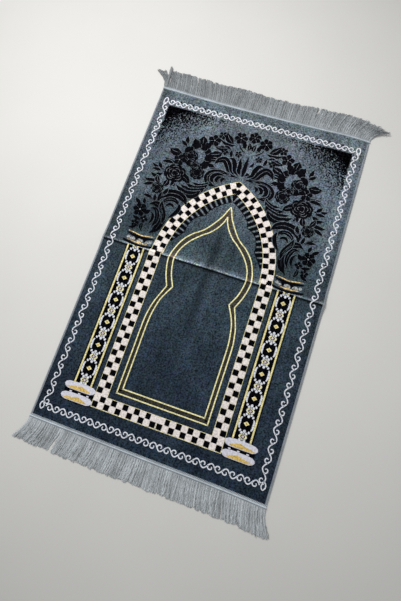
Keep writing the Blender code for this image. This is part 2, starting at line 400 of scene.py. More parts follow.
def pile(name, colour, roughness=0.9, **more):
    """A finish of cut pile."""
    return finish_material(name, NAP, colour, roughness, **more)


def yarn(name, colour, roughness=0.85, **more):
    """A finish of spun yarn."""
    return finish_material(name, YARN, colour, roughness, **more)


# each pile takes the nap's painted sheen, light and shade, with its mottle, in full or in the share given
SLATE = pile("slate_pile", (0.036, 0.060, 0.080), 0.92, sheen=0.04, specular=0.08)
EDGE_SLATE = pile("edge_slate_pile", (0.060, 0.092, 0.116), 0.92, sheen=0.04, specular=0.08)
SLATE_VEIN = pile("pale_contour", (0.160, 0.182, 0.205), 0.92, specular=0.08, Brushed=0.10)
BLACK = pile("black_pile", (0.0026, 0.0029, 0.0046), 0.95, specular=0.010, Brushed=0.30)
IVORY = pile("ivory_pile", (0.89, 0.81, 0.77), Brushed=0.03, Streaks=0.2, Tufts=0.35)
CREAM = pile("cream_pile", (0.66, 0.60, 0.47), Brushed=0.03, Streaks=0.2, Tufts=0.6)
WHITE = pile("white_pile", (0.80, 0.82, 0.88), Brushed=0.03, Streaks=0.2, Tufts=0.35)
LAVENDER = pile("lavender_pile", (0.74, 0.73, 0.82), Brushed=0.03, Streaks=0.2, Tufts=0.22)
GOLD = pile("gold_pile", (0.74, 0.52, 0.15), 0.85, Brushed=0.05, Streaks=0.3, Tufts=0.5)
STRAW = pile("straw_thread", (0.95, 0.88, 0.46), 0.85, Brushed=0.04, Streaks=0.3, Tufts=0.5)
ROSE = pile("rose_pile", (0.76, 0.62, 0.64), Brushed=0.03, Streaks=0.2, Tufts=0.5)
PALE_GOLD = pile("pale_gold_pile", (0.72, 0.60, 0.24), 0.85, Brushed=0.05, Streaks=0.3, Tufts=0.5)
CAP_GOLD = pile("cap_gold_pile", (0.72, 0.54, 0.26), 0.85, Brushed=0.05, Streaks=0.3)
SILVER = pile("silver_pile", (0.34, 0.36, 0.36), Brushed=0.08, Streaks=0.4)
PETAL_SILVER = pile("petal_silver_pile", (0.54, 0.54, 0.48), Brushed=0.05, Streaks=0.4)
MAUVE = pile("mauve_pile", (0.044, 0.040, 0.029), 0.92, Brushed=0.50)
BACKING = pile("woven_backing", (0.10, 0.11, 0.12), 0.95, Brushed=0.0)
THREAD = yarn("grey_thread", (0.40, 0.44, 0.48), 0.8, sheen=0.05)
CORD = yarn("pale_cord", (0.60, 0.66, 0.71), 0.75, sheen=0.05)
HEADING = yarn("heading_tape", (0.33, 0.365, 0.39), sheen=0.05)
FRINGE = yarn("fringe_yarn", (0.366, 0.390, 0.406), sheen=0.06)
strand_shade = add_node(FRINGE.node_tree, "Attribute", {"attribute_name": "shade"})
FRINGE.node_tree.links.new(strand_shade.outputs["Fac"], FRINGE.node_tree.nodes["Group"].inputs["Shade"])


# ------------------------------------------------------------------ pile shapes
SINK = 0.0006                 # how far a pile shape reaches down into the cloth
LOW_PILE = 0.00025            # height of a flat ground over the cloth
SPOT_PILE = 0.0004            # and of small flat spots and rims
SPECK_PILE = 0.0005
FIGURE_PILE = 0.0006          # height of a figure over the cloth
LINE_PILE = 0.0007
CAP_PILE = 0.0008
STITCH_PILE = 0.0009
RIM_WIDTH = 0.0004            # the softened rim of a shape, and its height as a share of the shape's
RIM_SHARE = 0.55
STROKE_BEVEL = 0.4            # slope along the sides of a drawn line, in millimetres


class Inlay:
    """Pile of one colour: many small closed shapes, gathered into one piece that follows the cloth."""

    def __init__(self):
        self.points = []
        self.faces = []
        self.count = 0

    def add(self, shape, place=None, mirrored=True):
        """Put a shape on the rug, with its twin on the other side of the rug's middle."""
        points, faces = shape
        if not faces:
            return
        facing = 1
        if place is not None:
            turned = np.array(place.to_3x3())
            points = points @ turned.T + np.array(place.translation)
            facing = 1 if place.determinant() > 0 else -1
        for way in (1, -1) if mirrored else (1,):
            self.points.append(points * (way, 1, 1))
            start = self.count
            step = facing * way
            self.faces += [[start + k for k in face[::step]] for face in faces]
            self.count += len(points)

    def lay(self, name, material, slot="pile_velvet", on_cloth=True):
        """Drape the shapes over the cloth and make the piece."""
        mesh = bpy.data.meshes.new(name)
        mesh.from_pydata(np.vstack(self.points).tolist(), [], self.faces)
        bm = bmesh.new()
        bm.from_mesh(mesh)
        if on_cloth:
            for cut in CREASE_CUTS:
                cut_across(bm, CREASE_Y + cut, 1)
            for cut in FOLD_CUTS:
                cut_across(bm, FOLD_X + cut, 0)
        bm.to_mesh(mesh)
        bm.free()
        points = np.empty(3 * len(mesh.vertices), np.float32)
        mesh.vertices.foreach_get("co", points)
        points = points.reshape(-1, 3)
        points[:, 2] += lift(points[:, 0], points[:, 1]) + (THICKNESS if on_cloth else 0)
        mesh.vertices.foreach_set("co", points.ravel())
        mesh.materials.append(material)
        piece = bpy.data.objects.new(name, mesh)
        bpy.context.scene.collection.objects.link(piece)
        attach(piece, "root")
        return piece


CREASE_CUTS = (-0.045, -0.036, -0.028, -0.021, -0.015, -0.010, -0.006, -0.003, 0,
               0.003, 0.006, 0.010, 0.015, 0.021, 0.028, 0.036, 0.045)
FOLD_CUTS = (-0.030, -0.010, 0, 0.010, 0.030)


def cut_across(bm, where, axis):
    """Add an edge line to the faces that cross a crease, so that they can bend over it."""
    crossing = []
    for face in bm.faces:
        reach = [vert.co[axis] for vert in face.verts]
        if min(reach) < where - 1e-5 and max(reach) > where + 1e-5:
            crossing.append(face)
    edges = {edge for face in crossing for edge in face.edges}
    verts = {vert for face in crossing for vert in face.verts}
    normal = [0, 0, 0]
    normal[axis] = 1
    place = [0, 0, 0]
    place[axis] = where
    geometry = crossing + list(edges) + list(verts)
    if crossing:
        bmesh.ops.bisect_plane(bm, geom=geometry, dist=1e-6, plane_co=place, plane_no=normal)


def take_shape(bm):
    """A finished bmesh as points and faces, with its faces pointing out."""
    bmesh.ops.recalc_face_normals(bm, faces=bm.faces)
    bm.verts.index_update()
    points = np.array([vert.co[:] for vert in bm.verts])
    faces = [[vert.index for vert in face.verts] for face in bm.faces]
    bm.free()
    return points, faces


def raise_pile(bm, height, soften):
    """Give a flat outline walls and a top, with a softened rim, and take its shape."""
    flat = bm.faces[:]
    grown = bmesh.ops.extrude_face_region(bm, geom=flat)["geom"]
    tops = [part for part in grown if isinstance(part, bmesh.types.BMFace)]
    upper = {vert for face in tops for vert in face.verts}
    for vert in bm.verts:
        vert.co.z = height if vert in upper else -SINK
    if soften:
        bmesh.ops.inset_region(bm, faces=tops, thickness=soften, use_even_offset=True)
        inner = {vert for face in tops for vert in face.verts}
        for vert in bm.verts:
            if vert.co.z > 0 and vert not in inner:
                vert.co.z = height * RIM_SHARE
    return take_shape(bm)


def carry_on(bm, face, first):
    """Carry a tube's end on to its next station, leaving no face inside the tube."""
    grown = bmesh.ops.extrude_face_region(bm, geom=[face])["geom"]
    if not first:
        bmesh.ops.delete(bm, geom=[face], context="FACES_ONLY")
    return next(part for part in grown if isinstance(part, bmesh.types.BMFace))


def smooth_route(points, step):
    """Places along a smooth curve through given points, about a step apart, and shares of the way."""
    points = [Vector(point[:2]) for point in points]
    ends = [2 * points[0] - points[1], *points, 2 * points[-1] - points[-2]]
    places, shares = [], []
    for k in range(len(points) - 1):
        a, b, c, d = ends[k:k + 4]
        pieces = max(1, math.ceil((c - b).length / step))
        for part in range(pieces + (k == len(points) - 2)):
            t = part / pieces
            places.append(0.5 * (2 * b + (c - a) * t + (2 * a - 5 * b + 4 * c - d) * t * t
                                 + (3 * b - a - 3 * c + d) * t ** 3))
            shares.append((k + t) / (len(points) - 1))
    return places, shares


def draw_stroke(points, widths, height=FIGURE_PILE, step=4.0):
    """A band of pile drawn along a route, as wide as its widths say from start to end."""
    places, shares = smooth_route(points, step)
    keys = np.linspace(0, 1, len(widths))
    bm = bmesh.new()
    section = [bm.verts.new((0, 0, 0)) for _ in range(4)]
    face = bm.faces.new(section)
    last = len(places) - 1
    for k, (place, share) in enumerate(zip(places, shares)):
        if k:
            face = carry_on(bm, face, first=k == 1)
        ahead = (places[min(k + 1, last)] - places[max(k - 1, 0)]).normalized()
        aside = Vector((-ahead.y, ahead.x))
        half = float(np.interp(share, keys, widths)) / 2
        top = max(0.55, 1 - STROKE_BEVEL / half)
        profile = ((-1, -SINK), (-top, height), (top, height), (1, -SINK))
        for vert, (way, z) in zip(face.verts, profile):
            spot = place + aside * way * half
            vert.co = (spot.x * MM, spot.y * MM, z)
    return take_shape(bm)


def draw_block(outline, height=FIGURE_PILE, soften=RIM_WIDTH):
    """A flat-topped shape of pile with a few given corners."""
    bm = bmesh.new()
    bm.faces.new([bm.verts.new((x * MM, y * MM, 0)) for x, y in outline])
    return raise_pile(bm, height, soften)


def draw_round(radius_x, radius_y, height=FIGURE_PILE, sides=10):
    """A round or oval spot of pile about the origin."""
    bm = bmesh.new()
    bmesh.ops.create_circle(bm, cap_ends=True, segments=sides, radius=1.0)
    bmesh.ops.scale(bm, vec=(radius_x * MM, radius_y * MM, 1), verts=bm.verts)
    return raise_pile(bm, height, RIM_WIDTH)


def at(x, y, turn=0.0, size=1.0):
    """A place on the rug in millimetres, with a turn in degrees."""
    spin = Matrix.Rotation(math.radians(turn), 4, "Z")
    stretch = Matrix.Diagonal((size, size, 1, 1))
    return Matrix.Translation((x * MM, y * MM, 0)) @ spin @ stretch


# ------------------------------------------------------------------ the velvet ground
def ground_lines(count, crease, reach, fine):
    """Mesh lines from -1 to 1, close together over a crease."""
    even = np.linspace(-1, 1, count)
    even = even[np.abs(even - crease) > reach]
    near = crease + reach * np.sign(np.linspace(-1, 1, fine)) * np.abs(np.linspace(-1, 1, fine)) ** 1.6
    return np.unique(np.round(np.concatenate([even, near]), 6))


TUCK = 0.0012                  # how far the cloth stays inside its side threads
EDGE_REACH = 0.006             # the cloth is thinner this near the threads, by these amounts
EDGE_DROP = 0.0007
EDGE_RISE = 0.0004


def make_velvet_ground():
    """The cloth: a thin closed sheet over its creases, thinner where the side threads wrap it."""
    across = ground_lines(50, FOLD_X / HALF_WIDTH, FOLD_REACH / HALF_WIDTH, 13)
    along = ground_lines(60, CREASE_Y / HALF_LENGTH, CREASE_REACH / HALF_LENGTH, 41)
    bm = bmesh.new()
    bmesh.ops.create_grid(bm, x_segments=len(across) - 1, y_segments=len(along) - 1, size=0.5)
    for vert in bm.verts:
        u = across[round((vert.co.x + 0.5) * (len(across) - 1))]
        v = along[round((vert.co.y + 0.5) * (len(along) - 1))]
        x = abs(u) * (float(side_x(math.copysign(1, u), v * HALF_LENGTH)) - math.copysign(TUCK, u))
        end = float(end_y("head" if v > 0 else "foot", x))
        y = v * HALF_LENGTH + (end - math.copysign(HALF_LENGTH, v)) * v ** 4
        vert.co = (x, y, 0)
    top = bmesh.ops.extrude_face_region(bm, geom=bm.faces[:])["geom"]
    upper = {part for part in top if isinstance(part, bmesh.types.BMVert)}
    for vert in bm.verts:
        x, y = vert.co.x, vert.co.y
        inside = abs(float(side_x(math.copysign(1, x), y))) - abs(x)
        thin = max(0.0, 1 - inside / EDGE_REACH)
        raised = THICKNESS - EDGE_DROP * thin if vert in upper else EDGE_RISE * thin
        vert.co.z = float(lift(x, y)) + raised
    bmesh.ops.recalc_face_normals(bm, faces=bm.faces)
    mesh = bpy.data.meshes.new("velvet_ground")
    bm.to_mesh(mesh)
    bm.free()
    mesh.materials.append(SLATE)
    mesh.materials.append(BACKING)
    for face in mesh.polygons:
        face.material_index = 1 if face.normal.z < -0.5 else 0
    mesh.shade_smooth()
    mesh.set_sharp_from_angle(angle=math.radians(50))
    piece = bpy.data.objects.new("velvet_ground", mesh)
    bpy.context.scene.collection.objects.link(piece)
    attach(piece, "root")
    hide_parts("pile_cloth")
    return piece


# ------------------------------------------------------------------ scroll border
Run = namedtuple("Run", "x y turn length height count trough_first")
SCROLL_RUNS = [                # left half: along the head, along the foot, down the side
    Run(x=-307.0, y=504.5, turn=0, length=20.45, height=7.8, count=15, trough_first=True),
    Run(x=-309.0, y=-510.0, turn=0, length=20.50, height=8.4, count=15, trough_first=False),
    Run(x=-312.5, y=497.0, turn=-90, length=25.70, height=7.7, count=39, trough_first=True),
]
SCROLL_STROKE = 3.7
CURL_RADIUS = 3.7
HEAD_LOOP = [(-320, 492), (-322.5, 503), (-320.5, 513), (-315.5, 517), (-310.5, 511), (-311, 503),
             (-314.5, 498), (-319, 498)]
FOOT_LOOP = [(-316, -498), (-323.5, -503), (-325.5, -512), (-320, -520), (-314.5, -514), (-315, -506),
             (-319, -504.5)]


def draw_half_wave(run):
    """One half-wave of the scroll and the curl at its far shoulder."""
    stem = [(run.length * k / 6, run.height * math.sin(math.pi * k / 6)) for k in range(7)]
    curl = []
    for k in range(8):
        share = k / 7
        angle = math.radians(35 - 275 * share)
        radius = CURL_RADIUS + 3.5 * (1 - share) ** 2.2
        curl.append((run.length - 8.7 + 1.15 * radius * math.cos(angle), -2.7 + radius * math.sin(angle)))
    yield draw_stroke(stem, (SCROLL_STROKE,), step=3.5)
    yield draw_stroke(curl, (SCROLL_STROKE, SCROLL_STROKE, 0.8 * SCROLL_STROKE), step=3.0)


def make_scroll_border():
    """The running white scroll, its corner loops, and the black lozenges beside it."""
    border = Inlay()
    for run in SCROLL_RUNS:
        shapes = list(draw_half_wave(run))
        for k in range(run.count):
            flip = -1 if (k % 2 == 0) == run.trough_first else 1
            place = at(run.x, run.y, run.turn) @ at(k * run.length, 0) @ Matrix.Diagonal((1, flip, 1, 1))
            for shape in shapes:
                border.add(shape, place)
    for loop in (HEAD_LOOP, FOOT_LOOP):
        border.add(draw_stroke(loop, (SCROLL_STROKE,), step=3.5))
    lozenges = Inlay()
    lozenge = draw_block([(-3.2, 0), (0, -3.6), (3.2, 0), (0, 3.6)])
    for k in range(7):
        lozenges.add(lozenge, at(-266.5 + 41 * k, 512.5))
        lozenges.add(lozenge, at(-288 + 41 * k, -500, size=0.8))
    for k in range(18):
        lozenges.add(lozenge, at(-318.0, 429 - 51.4 * k, size=1.0 - 0.02 * k))
    return [border.lay("scroll_border", WHITE), lozenges.lay("border_lozenges", BLACK)]


# ------------------------------------------------------------------ stippled corners
STIPPLE_LEFT = -300
STIPPLE_TOP = 491
STIPPLE_PITCH = 3.3
STIPPLE_REACH = (275, 204)      # how far it breaks up along the end, and down the side
SOLID_CORNER = [(-301, 492), (-301, 440), (-295, 450), (-290, 462), (-281, 468), (-268, 477), (-246, 482),
                (-225, 487), (-215, 492)]


def draw_speck():
    """A small uneven spot with six corners."""
    outline = []
    for side in range(6):
        angle = math.radians(60 * side)
        reach = random.uniform(0.7, 1.25)
        outline.append((2.3 * reach * math.cos(angle), 1.7 * reach * math.sin(angle)))
    return draw_block(outline, height=SPECK_PILE, soften=0.0)


def make_corner_stipple():
    """Dark corners at the head, breaking up into specks down the sides and along the end."""
    random.seed(7)
    stipple = Inlay()
    stipple.add(draw_block(SOLID_CORNER, height=LOW_PILE, soften=0.0))
    specks = [draw_speck() for _ in range(6)]
    for row in range(64):
        for column in range(82):
            x = STIPPLE_LEFT + STIPPLE_PITCH * column + random.uniform(-1.6, 1.6)
            y = STIPPLE_TOP - STIPPLE_PITCH * row + random.uniform(-1.6, 1.6)
            far = max(0.0, (x - STIPPLE_LEFT) / STIPPLE_REACH[0]) ** 0.8
            far += max(0.0, (STIPPLE_TOP - y) / STIPPLE_REACH[1]) ** 0.8
            chance = 1.6 * (1 - far) ** 1.2 if far < 1 else 0.0
            turn = random.uniform(0, 180)
            size = random.uniform(0.75, 1.15) * (1 + 0.55 * min(1.0, chance))
            speck = random.choice(specks)
            inside = STIPPLE_LEFT < x < -2 and y < STIPPLE_TOP - 1
            if random.random() < chance and inside:
                stipple.add(speck, at(x, y, turn, size))
    return [stipple.lay("corner_stipple", BLACK)]


# ------------------------------------------------------------------ checker band and arch
ARCH_X = 133.0                 # centre of the left half of the arch, beyond the rug's middle
ARCH_Y = 10.0
ARCH_OUTER = 318.5
ARCH_INNER = 281.0
ARCH_STEP = 3.147              # degrees from one cell to the next
BAND_OUTER = -189.0
BAND_INNER = -153.0
BAND_FOOT = -434.0
BAND_BOTTOM = -470.0
ARCH_END = 66.0                # degrees at which the arch has reached the rug's middle
CHECK_LINE = 1.5
CELL_PITCH = 18.4
FOOT_PITCH = 17.02
CELL = 16.2


def polar(angle, radius):
    """A place on the left half of the arch, from its angle above the left and its radius."""
    turn = math.radians(angle)
    return ARCH_X - radius * math.cos(turn), ARCH_Y + radius * math.sin(turn)


def arch_cell(angle, radius, size):
    """Outline of a cell that lies square to the arch."""
    half = math.degrees(size / 2 / radius)
    inner, outer = radius - size / 2, radius + size / 2
    return [polar(angle - half, inner), polar(angle - half, outer),
            polar(angle + half, outer), polar(angle + half, inner)]


def square(x, y, size_x, size_y):
    """Outline of an upright rectangle about its middle."""
    return [(x - size_x / 2, y - size_y / 2), (x + size_x / 2, y - size_y / 2),
            (x + size_x / 2, y + size_y / 2), (x - size_x / 2, y + size_y / 2)]


def cut_at_middle(shape):
    """Take away what lies beyond the rug's middle line, and close the cut."""
    points, faces = shape
    if points[:, 0].max() <= 0:
        return shape
    bm = bmesh.new()
    verts = [bm.verts.new(point) for point in points]
    for face in faces:
        bm.faces.new([verts[k] for k in face])
    everything = bm.verts[:] + bm.edges[:] + bm.faces[:]
    bmesh.ops.bisect_plane(bm, geom=everything, plane_co=(0, 0, 0), plane_no=(1, 0, 0), clear_outer=True)
    bmesh.ops.holes_fill(bm, edges=[edge for edge in bm.edges if edge.is_boundary])
    return take_shape(bm)


def make_checker_band():
    """The two-row black and ivory check, round the arch, down the sides and across the foot."""
    ground, ivory, black = Inlay(), Inlay(), Inlay()
    width = ARCH_OUTER - ARCH_INNER
    middle = (ARCH_OUTER + ARCH_INNER) / 2
    side = (BAND_OUTER + BAND_INNER) / 2
    turns = np.linspace(0, ARCH_END, 23)
    arc = [polar(angle, middle) for angle in turns]
    ground.add(cut_at_middle(draw_stroke(arc, (width + 1.5,), height=LOW_PILE, step=9)))
    upright = square(side, (ARCH_Y + BAND_BOTTOM) / 2, BAND_INNER - BAND_OUTER + 1, ARCH_Y - BAND_BOTTOM)
    across = square(BAND_INNER / 2, (BAND_FOOT + BAND_BOTTOM) / 2, -BAND_INNER, BAND_FOOT - BAND_BOTTOM)
    for outline in (upright, across):
        ground.add(draw_block(outline, height=LOW_PILE, soften=0.0))

    piles = (black, ivory)
    for radius, first in ((middle + width / 4, 1.48), (middle - width / 4, 1.48 + ARCH_STEP)):
        for k in range(22):
            angle = first + ARCH_STEP * k
            if angle < 68:
                size = (CELL, CELL + 1.6)[k % 2]
                piles[k % 2].add(cut_at_middle(draw_block(arch_cell(angle, radius, size))))
    for x, first in ((-180.4, -15.5), (-162.6, 2.6)):
        for k in range(-1, 25):
            y = first - CELL_PITCH * k
            if y > BAND_FOOT + 4:
                size = (CELL, CELL + 1.8)[k % 2]
                piles[k % 2].add(draw_block(square(x, y, min(size, 17.4), size)))
    ivory.add(draw_block(square(side, BAND_FOOT + 2.5, 35, 8), height=SPECK_PILE))
    for row, (y, first) in enumerate(((-460.0, -180.1), (-442.9, -180.0))):
        for k in range(12):
            x = first + FOOT_PITCH * k
            if x < 3:
                pale = (k + row) % 2
                size = (CELL - 0.6, CELL + 1.4)[pale]
                wide = 26 if pale and x > -12 else size
                piles[pale].add(cut_at_middle(draw_block(square(x, y, wide, size + 0.4))))
    edges = Inlay()
    for radius in (ARCH_OUTER, ARCH_INNER):
        arc = [polar(angle, radius) for angle in turns]
        edges.add(cut_at_middle(draw_stroke(arc, (CHECK_LINE,), step=9)))
    for x, foot in ((BAND_OUTER, BAND_BOTTOM), (BAND_INNER, BAND_FOOT)):
        edges.add(draw_stroke([(x, ARCH_Y), (x, foot)], (CHECK_LINE,), step=12))
    for x, foot in ((BAND_INNER, BAND_FOOT), (BAND_OUTER, BAND_BOTTOM)):
        edges.add(draw_stroke([(x, foot), (0, foot)], (CHECK_LINE,), step=40))
    return [
        edges.lay("check_edges", STRAW), ground.lay("check_ground", CREAM),
        ivory.lay("check_ivory", IVORY), black.lay("check_black", BLACK),
    ]


# ------------------------------------------------------------------ striped soffit under the arch
Foil = namedtuple("Foil", "angle radius")
SOFFIT = [
    Foil(7.9, 277.6),
    Foil(18.9, 256.8),
    Foil(23.7, 263.3),
    Foil(29.3, 266.0),
    Foil(33.7, 261.0),
    Foil(37.4, 250.4),
    Foil(41.4, 258.6),
    Foil(45.5, 259.5),
    Foil(52.7, 259.0),
    Foil(62.0, 256.5),
]
FIRST_BAR = 10.4
BAR_STEP = 3.58
BAR_COUNT = 15
BAR_HALF = 1.06


def soffit_radius(angle):
    """How far in the striped soffit reaches at an angle of the arch."""
    return float(np.interp(angle, [row.angle for row in SOFFIT], [row.radius for row in SOFFIT]))


def make_arch_soffit():
    """Black bars in a scalloped ring inside the check, with fine pale lines in the gaps."""
    bars, lines = Inlay(), Inlay()
    for k in range(BAR_COUNT):
        angle = FIRST_BAR + BAR_STEP * k
        low, high = angle - BAR_HALF, angle + BAR_HALF
        outline = [polar(low, soffit_radius(low)), polar(high, soffit_radius(high)),
                   polar(high, ARCH_INNER - 0.5), polar(low, ARCH_INNER - 0.5)]
        bars.add(cut_at_middle(draw_block(outline)))
        gap = angle + BAR_STEP / 2
        if k < BAR_COUNT - 1:
            reach = [polar(gap, ARCH_INNER - 1.5), polar(gap, soffit_radius(gap) + 1.5)]
            lines.add(draw_stroke(reach, (2.2, 1.8), height=LOW_PILE, step=20))
    bars.add(draw_block([(-4.5, 236), (0, 230), (0, 264), (-6.5, 262)]))
    edge = [polar(angle, soffit_radius(angle) - 0.6) for angle in np.linspace(9.0, 59.0, 26)]
    bars.add(draw_stroke(edge, (2.6,), height=SPOT_PILE, step=30))
    return [bars.lay("soffit_bars", BLACK), lines.lay("soffit_lines", SILVER)]


# ------------------------------------------------------------------ gold lines of the inner arch
OUTER_LINE = [
    [(-133, -413), (-133, -306), (-133, -200), (-129, -160), (-122, -130), (-104, -81)],
    [(-104, -81), (-117, -50), (-125, -20), (-127, 6), (-120, 38), (-106, 69), (-84, 95), (-67, 108),
     (-51, 122), (-31, 149), (-14, 177), (-6, 198), (0, 211)],
]
INNER_LINE = [
    [(-120, -398), (-120, -299), (-120, -200), (-115.5, -155), (-107, -120), (-86.5, -78)],
    [(-86.5, -78), (-102, -45), (-109.5, -15), (-111, 6), (-104, 38), (-84, 71), (-55, 100), (-37, 114),
     (-18, 136), (-6, 158), (0, 178)],
]
LINE_WIDTH = 4.0
BAND_WIDTH = 9.0


def make_arch_lines():
    """The doubled gold line of the inner arch, and the darker band between its lines."""
    gold, band = Inlay(), Inlay()
    for outer, inner in zip(OUTER_LINE, INNER_LINE):
        gold.add(draw_stroke(outer, (LINE_WIDTH,), height=LINE_PILE, step=5))
        gold.add(draw_stroke(inner, (LINE_WIDTH,), height=LINE_PILE, step=5))
        outer_run, _ = smooth_route(outer, 12)
        inner_run, _ = smooth_route(inner, 12)
        middle = []
        for share in np.linspace(0, 1, 22):
            a = outer_run[round(share * (len(outer_run) - 1))]
            b = inner_run[round(share * (len(inner_run) - 1))]
            middle.append((a + b) / 2)
        band.add(draw_stroke(middle, (BAND_WIDTH,), height=LOW_PILE, step=12))
    for start, turn, y in ((-135, -70, -413), (-122, -60, -397.8)):
        gold.add(draw_stroke([(start, y), (turn, y), (0, y)], (LINE_WIDTH,), height=LINE_PILE, step=10))
    middle = [(-131, -405.3), (-60, -405.3), (0, -405.3)]
    band.add(draw_stroke(middle, (BAND_WIDTH,), height=LOW_PILE, step=30))
    return [gold.lay("arch_gold_lines", STRAW), band.lay("arch_line_band", MAUVE)]


# ------------------------------------------------------------------ columns
COLUMN_X = -232.0
COLUMN_TOP = 5.0
COLUMN_FOOT = -422.0
COLUMN_PITCH = 69.6
FIRST_HEXAGON = -27.0
Petal = namedtuple("Petal", "pile across along long wide turn")
COLUMN_PETALS = [               # a quarter of one repeat, from a hexagon's middle to the next flower's
    Petal("white", across=0, along=20.0, long=8.5, wide=7.5, turn=90),
    Petal("white", across=6.6, along=25.2, long=7.5, wide=7.0, turn=60),
    Petal("white", across=12.4, along=20.4, long=7.6, wide=5.8, turn=60),
    Petal("silver", across=0, along=27.6, long=7.0, wide=6.0, turn=90),
    Petal("straw", across=6.8, along=31.2, long=9.0, wide=3.6, turn=24),
    Petal("rose", across=0, along=34.8, long=7.0, wide=7.0, turn=90),
    Petal("white", across=9.0, along=34.8, long=6.0, wide=4.4, turn=0),
]
WING = [(14.6, 15.4), (18.8, 14.6), (21.4, 8.0), (21.4, 0.4), (15.8, 0.4), (16.4, 7.0)]
HEART_LOZENGE = [(-8.0, 0), (0, -6.5), (8.0, 0), (0, 6.5)]
BEAD_PITCH = 4.6
REPEATS = 7


def make_columns():
    """Two black columns of white and gold flowers between beaded gold lines."""
    ground, gold, stitches, hearts = Inlay(), Inlay(), Inlay(), Inlay()
    piles = {"white": Inlay(), "rose": Inlay(), "straw": Inlay(), "silver": Inlay()}
    length = COLUMN_TOP - COLUMN_FOOT
    shaft = square(COLUMN_X, COLUMN_TOP - length / 2, 46, length)
    ground.add(draw_block(shaft, height=LOW_PILE, soften=0.0))
    for side in (-1, 1):
        line, edge = COLUMN_X + 24.5 * side, COLUMN_X + 29.5 * side
        gold.add(draw_stroke([(line, COLUMN_TOP), (line, COLUMN_FOOT)], (5.6,), step=12))
        ground.add(draw_stroke([(edge, COLUMN_TOP), (edge, COLUMN_FOOT)], (3.0,), height=LOW_PILE, step=12))
        for k in range(int(length / BEAD_PITCH)):
            bead = draw_round(2.7, 1.9, height=STITCH_PILE, sides=6)
            stitches.add(bead, at(line, COLUMN_TOP - 2.5 - BEAD_PITCH * k, 18))
    for k in range(REPEATS):
        middle = FIRST_HEXAGON - COLUMN_PITCH * k
        for petal in COLUMN_PETALS:
            height = SPOT_PILE if petal.pile == "silver" else FIGURE_PILE
            shape = draw_round(petal.long / 2, petal.wide / 2, height=height, sides=8)
            for side in (-1, 1) if petal.across else (1,):
                for way in (-1, 1) if petal.along < COLUMN_PITCH / 2 else (-1,):
                    y = middle + way * petal.along
                    if COLUMN_FOOT + petal.long / 3 < y < COLUMN_TOP + 2:
                        place = at(COLUMN_X + side * petal.across, y, petal.turn * side * way)
                        piles[petal.pile].add(shape, place)
        if middle > COLUMN_FOOT + 20:
            for side in (-1, 1):
                for way in (-1, 1):
                    quarter = Matrix.Diagonal((side, way, 1, 1))
                    piles["white"].add(draw_block(WING), at(COLUMN_X, middle) @ quarter)
            piles["straw"].add(draw_block(HEART_LOZENGE), at(COLUMN_X, middle))
            hearts.add(draw_round(3.7, 3.5, height=STITCH_PILE, sides=8), at(COLUMN_X, middle))
    return [
        ground.lay("column_ground", BLACK), gold.lay("column_gold_lines", PALE_GOLD),
        hearts.lay("column_hearts", GOLD), stitches.lay("column_stitches", STRAW),
        piles["white"].lay("column_white_petals", WHITE), piles["rose"].lay("column_rose_petals", ROSE),
        piles["straw"].lay("column_straw_petals", STRAW),
        piles["silver"].lay("column_silver_petals", PETAL_SILVER),
    ]


def make_capitals():
    """The bowed gold caps on the columns, with black bands, teeth and pale half-rounds."""
    gold, black, pale = Inlay(), Inlay(), Inlay()
    gold.add(draw_stroke([(-273, 49.0), (-252, 46.0), (-230, 43), (-210, 45.5), (-190, 48.6)],
                         (2.5, 4.0, 4.4, 4.0, 2.0), height=CAP_PILE, step=5))
    gold.add(draw_stroke([(-267, 21.4), (-248, 18.4), (-230, 17), (-217, 18), (-203, 20.5)],
                         (1.5, 3.8, 4.6, 3.6, 1.5), height=CAP_PILE, step=5))
    boss = [(-238, 19), (-230, 18), (-222, 19), (-225, 23), (-230, 24.5), (-235, 23)]
    gold.add(draw_block(boss, height=CAP_PILE))
    black.add(draw_stroke([(-275, 42.5), (-252, 38.5), (-230, 35.5), (-210, 37.5), (-189, 41.5)],
                          (4, 9.5, 10.5, 9.5, 4), step=5))
    black.add(draw_stroke([(-279, 17), (-258, 12.6), (-230, 9.5), (-206, 11.6), (-186, 15.4)],
                          (6.0, 8.0, 7.5, 8.0, 7.0), step=5))
    for tooth in ([(-249.5, 37), (-241.5, 22), (-234, 37)], [(-222.5, 37), (-214.4, 22), (-206.5, 37)]):
        black.add(draw_block(tooth))
    dome = [(-9.5, 0), (9.5, 0), (8.2, 6), (4.2, 9.5), (-4.2, 9.5), (-8.2, 6)]
    pale.add(draw_block(dome), at(-252, 22))
    pale.add(draw_block(dome), at(-228, 22.5))
    pale.add(draw_block(dome, soften=0.0003), at(-206, 23, size=0.62))
    for x in (-266, -197):
        pale.add(draw_round(6, 5, height=LOW_PILE, sides=8), at(x, 29, 20))
    return [
        gold.lay("capital_gold", CAP_GOLD), black.lay("capital_black", BLACK),
        pale.lay("capital_silver", SILVER),
    ]


BASE_BAR = [(-282, -434), (-277, -440), (-268, -443.5), (-203, -443.5), (-194, -440), (-189, -434),
            (-190, -428), (-199, -423), (-215, -421), (-257, -421.5), (-272, -423.5), (-280, -428)]
BASE_WEDGE = [(-277, -439), (-262, -443), (-208, -442.5), (-202, -439), (-220, -433), (-233, -429.5),
              (-245, -433), (-260, -435.5)]


